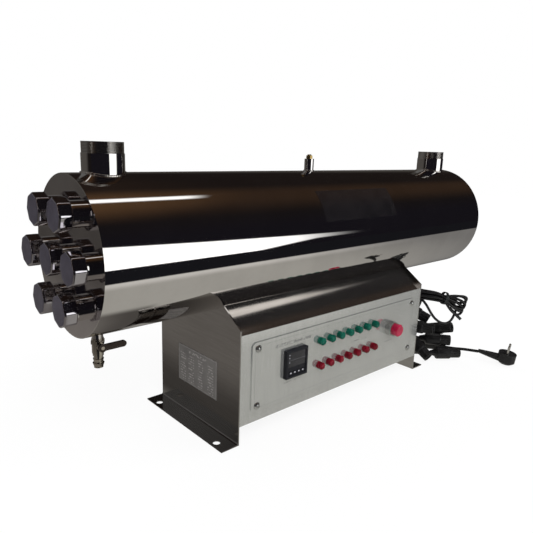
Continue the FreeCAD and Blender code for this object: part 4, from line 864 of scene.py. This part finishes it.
# White to the eye with a faint shadow. Metal sees pale paper near the object and dark ground past its edge.
def makeFloor():
    material = bpy.data.materials.new("floorPaper")
    material.use_nodes = True
    t = material.node_tree
    t.nodes.clear()
    place = put(t, "ShaderNodeTexCoord").outputs["Object"]
    spot = put(t, "ShaderNodeSeparateXYZ", {0: place}).outputs
    under = ramp(t, spot[0], *paperPlan["underX"])
    ahead = sums(t, "MULTIPLY", ramp(t, spot[0], *paperPlan["aheadX"]),
                 ramp(t, spot[1], *paperPlan["aheadY"], 1.0, 0.0))
    paper = sums(t, "MULTIPLY", sums(t, "MAXIMUM", under, ahead), ramp(t, spot[1], *paperPlan["frontY"]))
    back = sums(t, "MULTIPLY", ramp(t, spot[1], *paperPlan["backY"]), paperPlan["backShare"])
    bright = mixColour(t, ramp(t, spot[1], *paperPlan["edgeY"]), (*studio["paperEdge"], 1),
                       (*studio["paper"], 1))
    bright = mixColour(t, ramp(t, spot[0], *paperPlan["farX"]), bright, (*studio["paperFar"], 1))
    near = sums(t, "MULTIPLY", ramp(t, spot[0], *paperPlan["nearEndX"], 1.0, 0.0),
                ramp(t, spot[0], *paperPlan["nearStartX"]))
    ground = mixColour(t, near, (*studio["ground"], 1), (*studio["groundNear"], 1))
    ground = mixColour(t, ramp(t, spot[0], *paperPlan["farGroundX"]), ground, (*studio["farGround"], 1))
    ground = mixColour(t, ramp(t, spot[1], *paperPlan["frontGroundY"]), (*studio["frontGround"], 1), ground)
    colour = mixColour(t, paper, ground, bright)
    colour = mixColour(t, sums(t, "MULTIPLY", paper, back), colour, (*studio["backPaper"], 1))
    path = put(t, "ShaderNodeLightPath").outputs
    white = put(t, "ShaderNodeBsdfDiffuse", {"Color": (0.86, 0.86, 0.86, 1)}).outputs[0]
    glow = put(t, "ShaderNodeEmission", {"Color": (1, 1, 1, 1), "Strength": 1.02}).outputs[0]
    far = put(t, "ShaderNodeVectorMath", {0: place}, operation="LENGTH").outputs["Value"]
    glowShare = ramp(t, far, 0.5, 1.2, 0.88, 1.0)
    plain = put(t, "ShaderNodeMixShader", {0: glowShare, 1: white, 2: glow}).outputs[0]
    mirrored = put(t, "ShaderNodeEmission", {"Color": colour, "Strength": 1.0}).outputs[0]
    clear = sums(t, "MAXIMUM", path["Is Camera Ray"], path["Is Transmission Ray"])
    first = put(t, "ShaderNodeMixShader", {0: clear, 1: white, 2: plain}).outputs[0]
    whole = put(t, "ShaderNodeMixShader", {0: path["Is Glossy Ray"], 1: first, 2: mirrored}).outputs[0]
    t.links.new(whole, put(t, "ShaderNodeOutputMaterial").inputs[0])
    mesh = bpy.data.meshes.new("floor")
    (left, front), (right, rear) = studio["floor"]
    corners = ((left, front), (right, front), (right, rear), (left, rear))
    mesh.from_pydata([(x, y, -studio["floorDrop"]) for x, y in corners], [], [(0, 1, 2, 3)])
    mesh.materials.append(material)
    floor = bpy.data.objects.new("floor", mesh)
    bpy.context.scene.collection.objects.link(floor)


# a soft rectangular lamp aimed at a target, which polished metal doesn't mirror
def makeLamp(name, place, target, size, power):
    data = bpy.data.lights.new(name, "AREA")
    data.shape, data.size, data.size_y, data.energy = "RECTANGLE", size[0], size[1], power
    lamp = bpy.data.objects.new(name, data)
    bpy.context.scene.collection.objects.link(lamp)
    lamp.location = place
    lamp.rotation_euler = (Vector(target) - Vector(place)).to_track_quat("-Z", "Y").to_euler()
    lamp.visible_glossy = False


makeWorld()
makeFloor()
makeLamp("keyLamp", (-1.0, -1.7, 1.9), (0, 0, 0.2), (1.6, 1.2), 34)
makeLamp("fillLamp", (1.6, -1.0, 1.6), (0.1, 0, 0.2), (1.4, 1.4), 16)
makeLamp("backLamp", (0.4, 1.9, 1.8), (0, 0, 0.2), (1.8, 1.0), 20)
bpy.context.scene.view_settings.view_transform = "Standard"
print("studio lit")

for number, (lead, holder) in enumerate(zip(leads, holders)):
    round(lineLength(lead), 2)
round(lineLength(mains), 2)
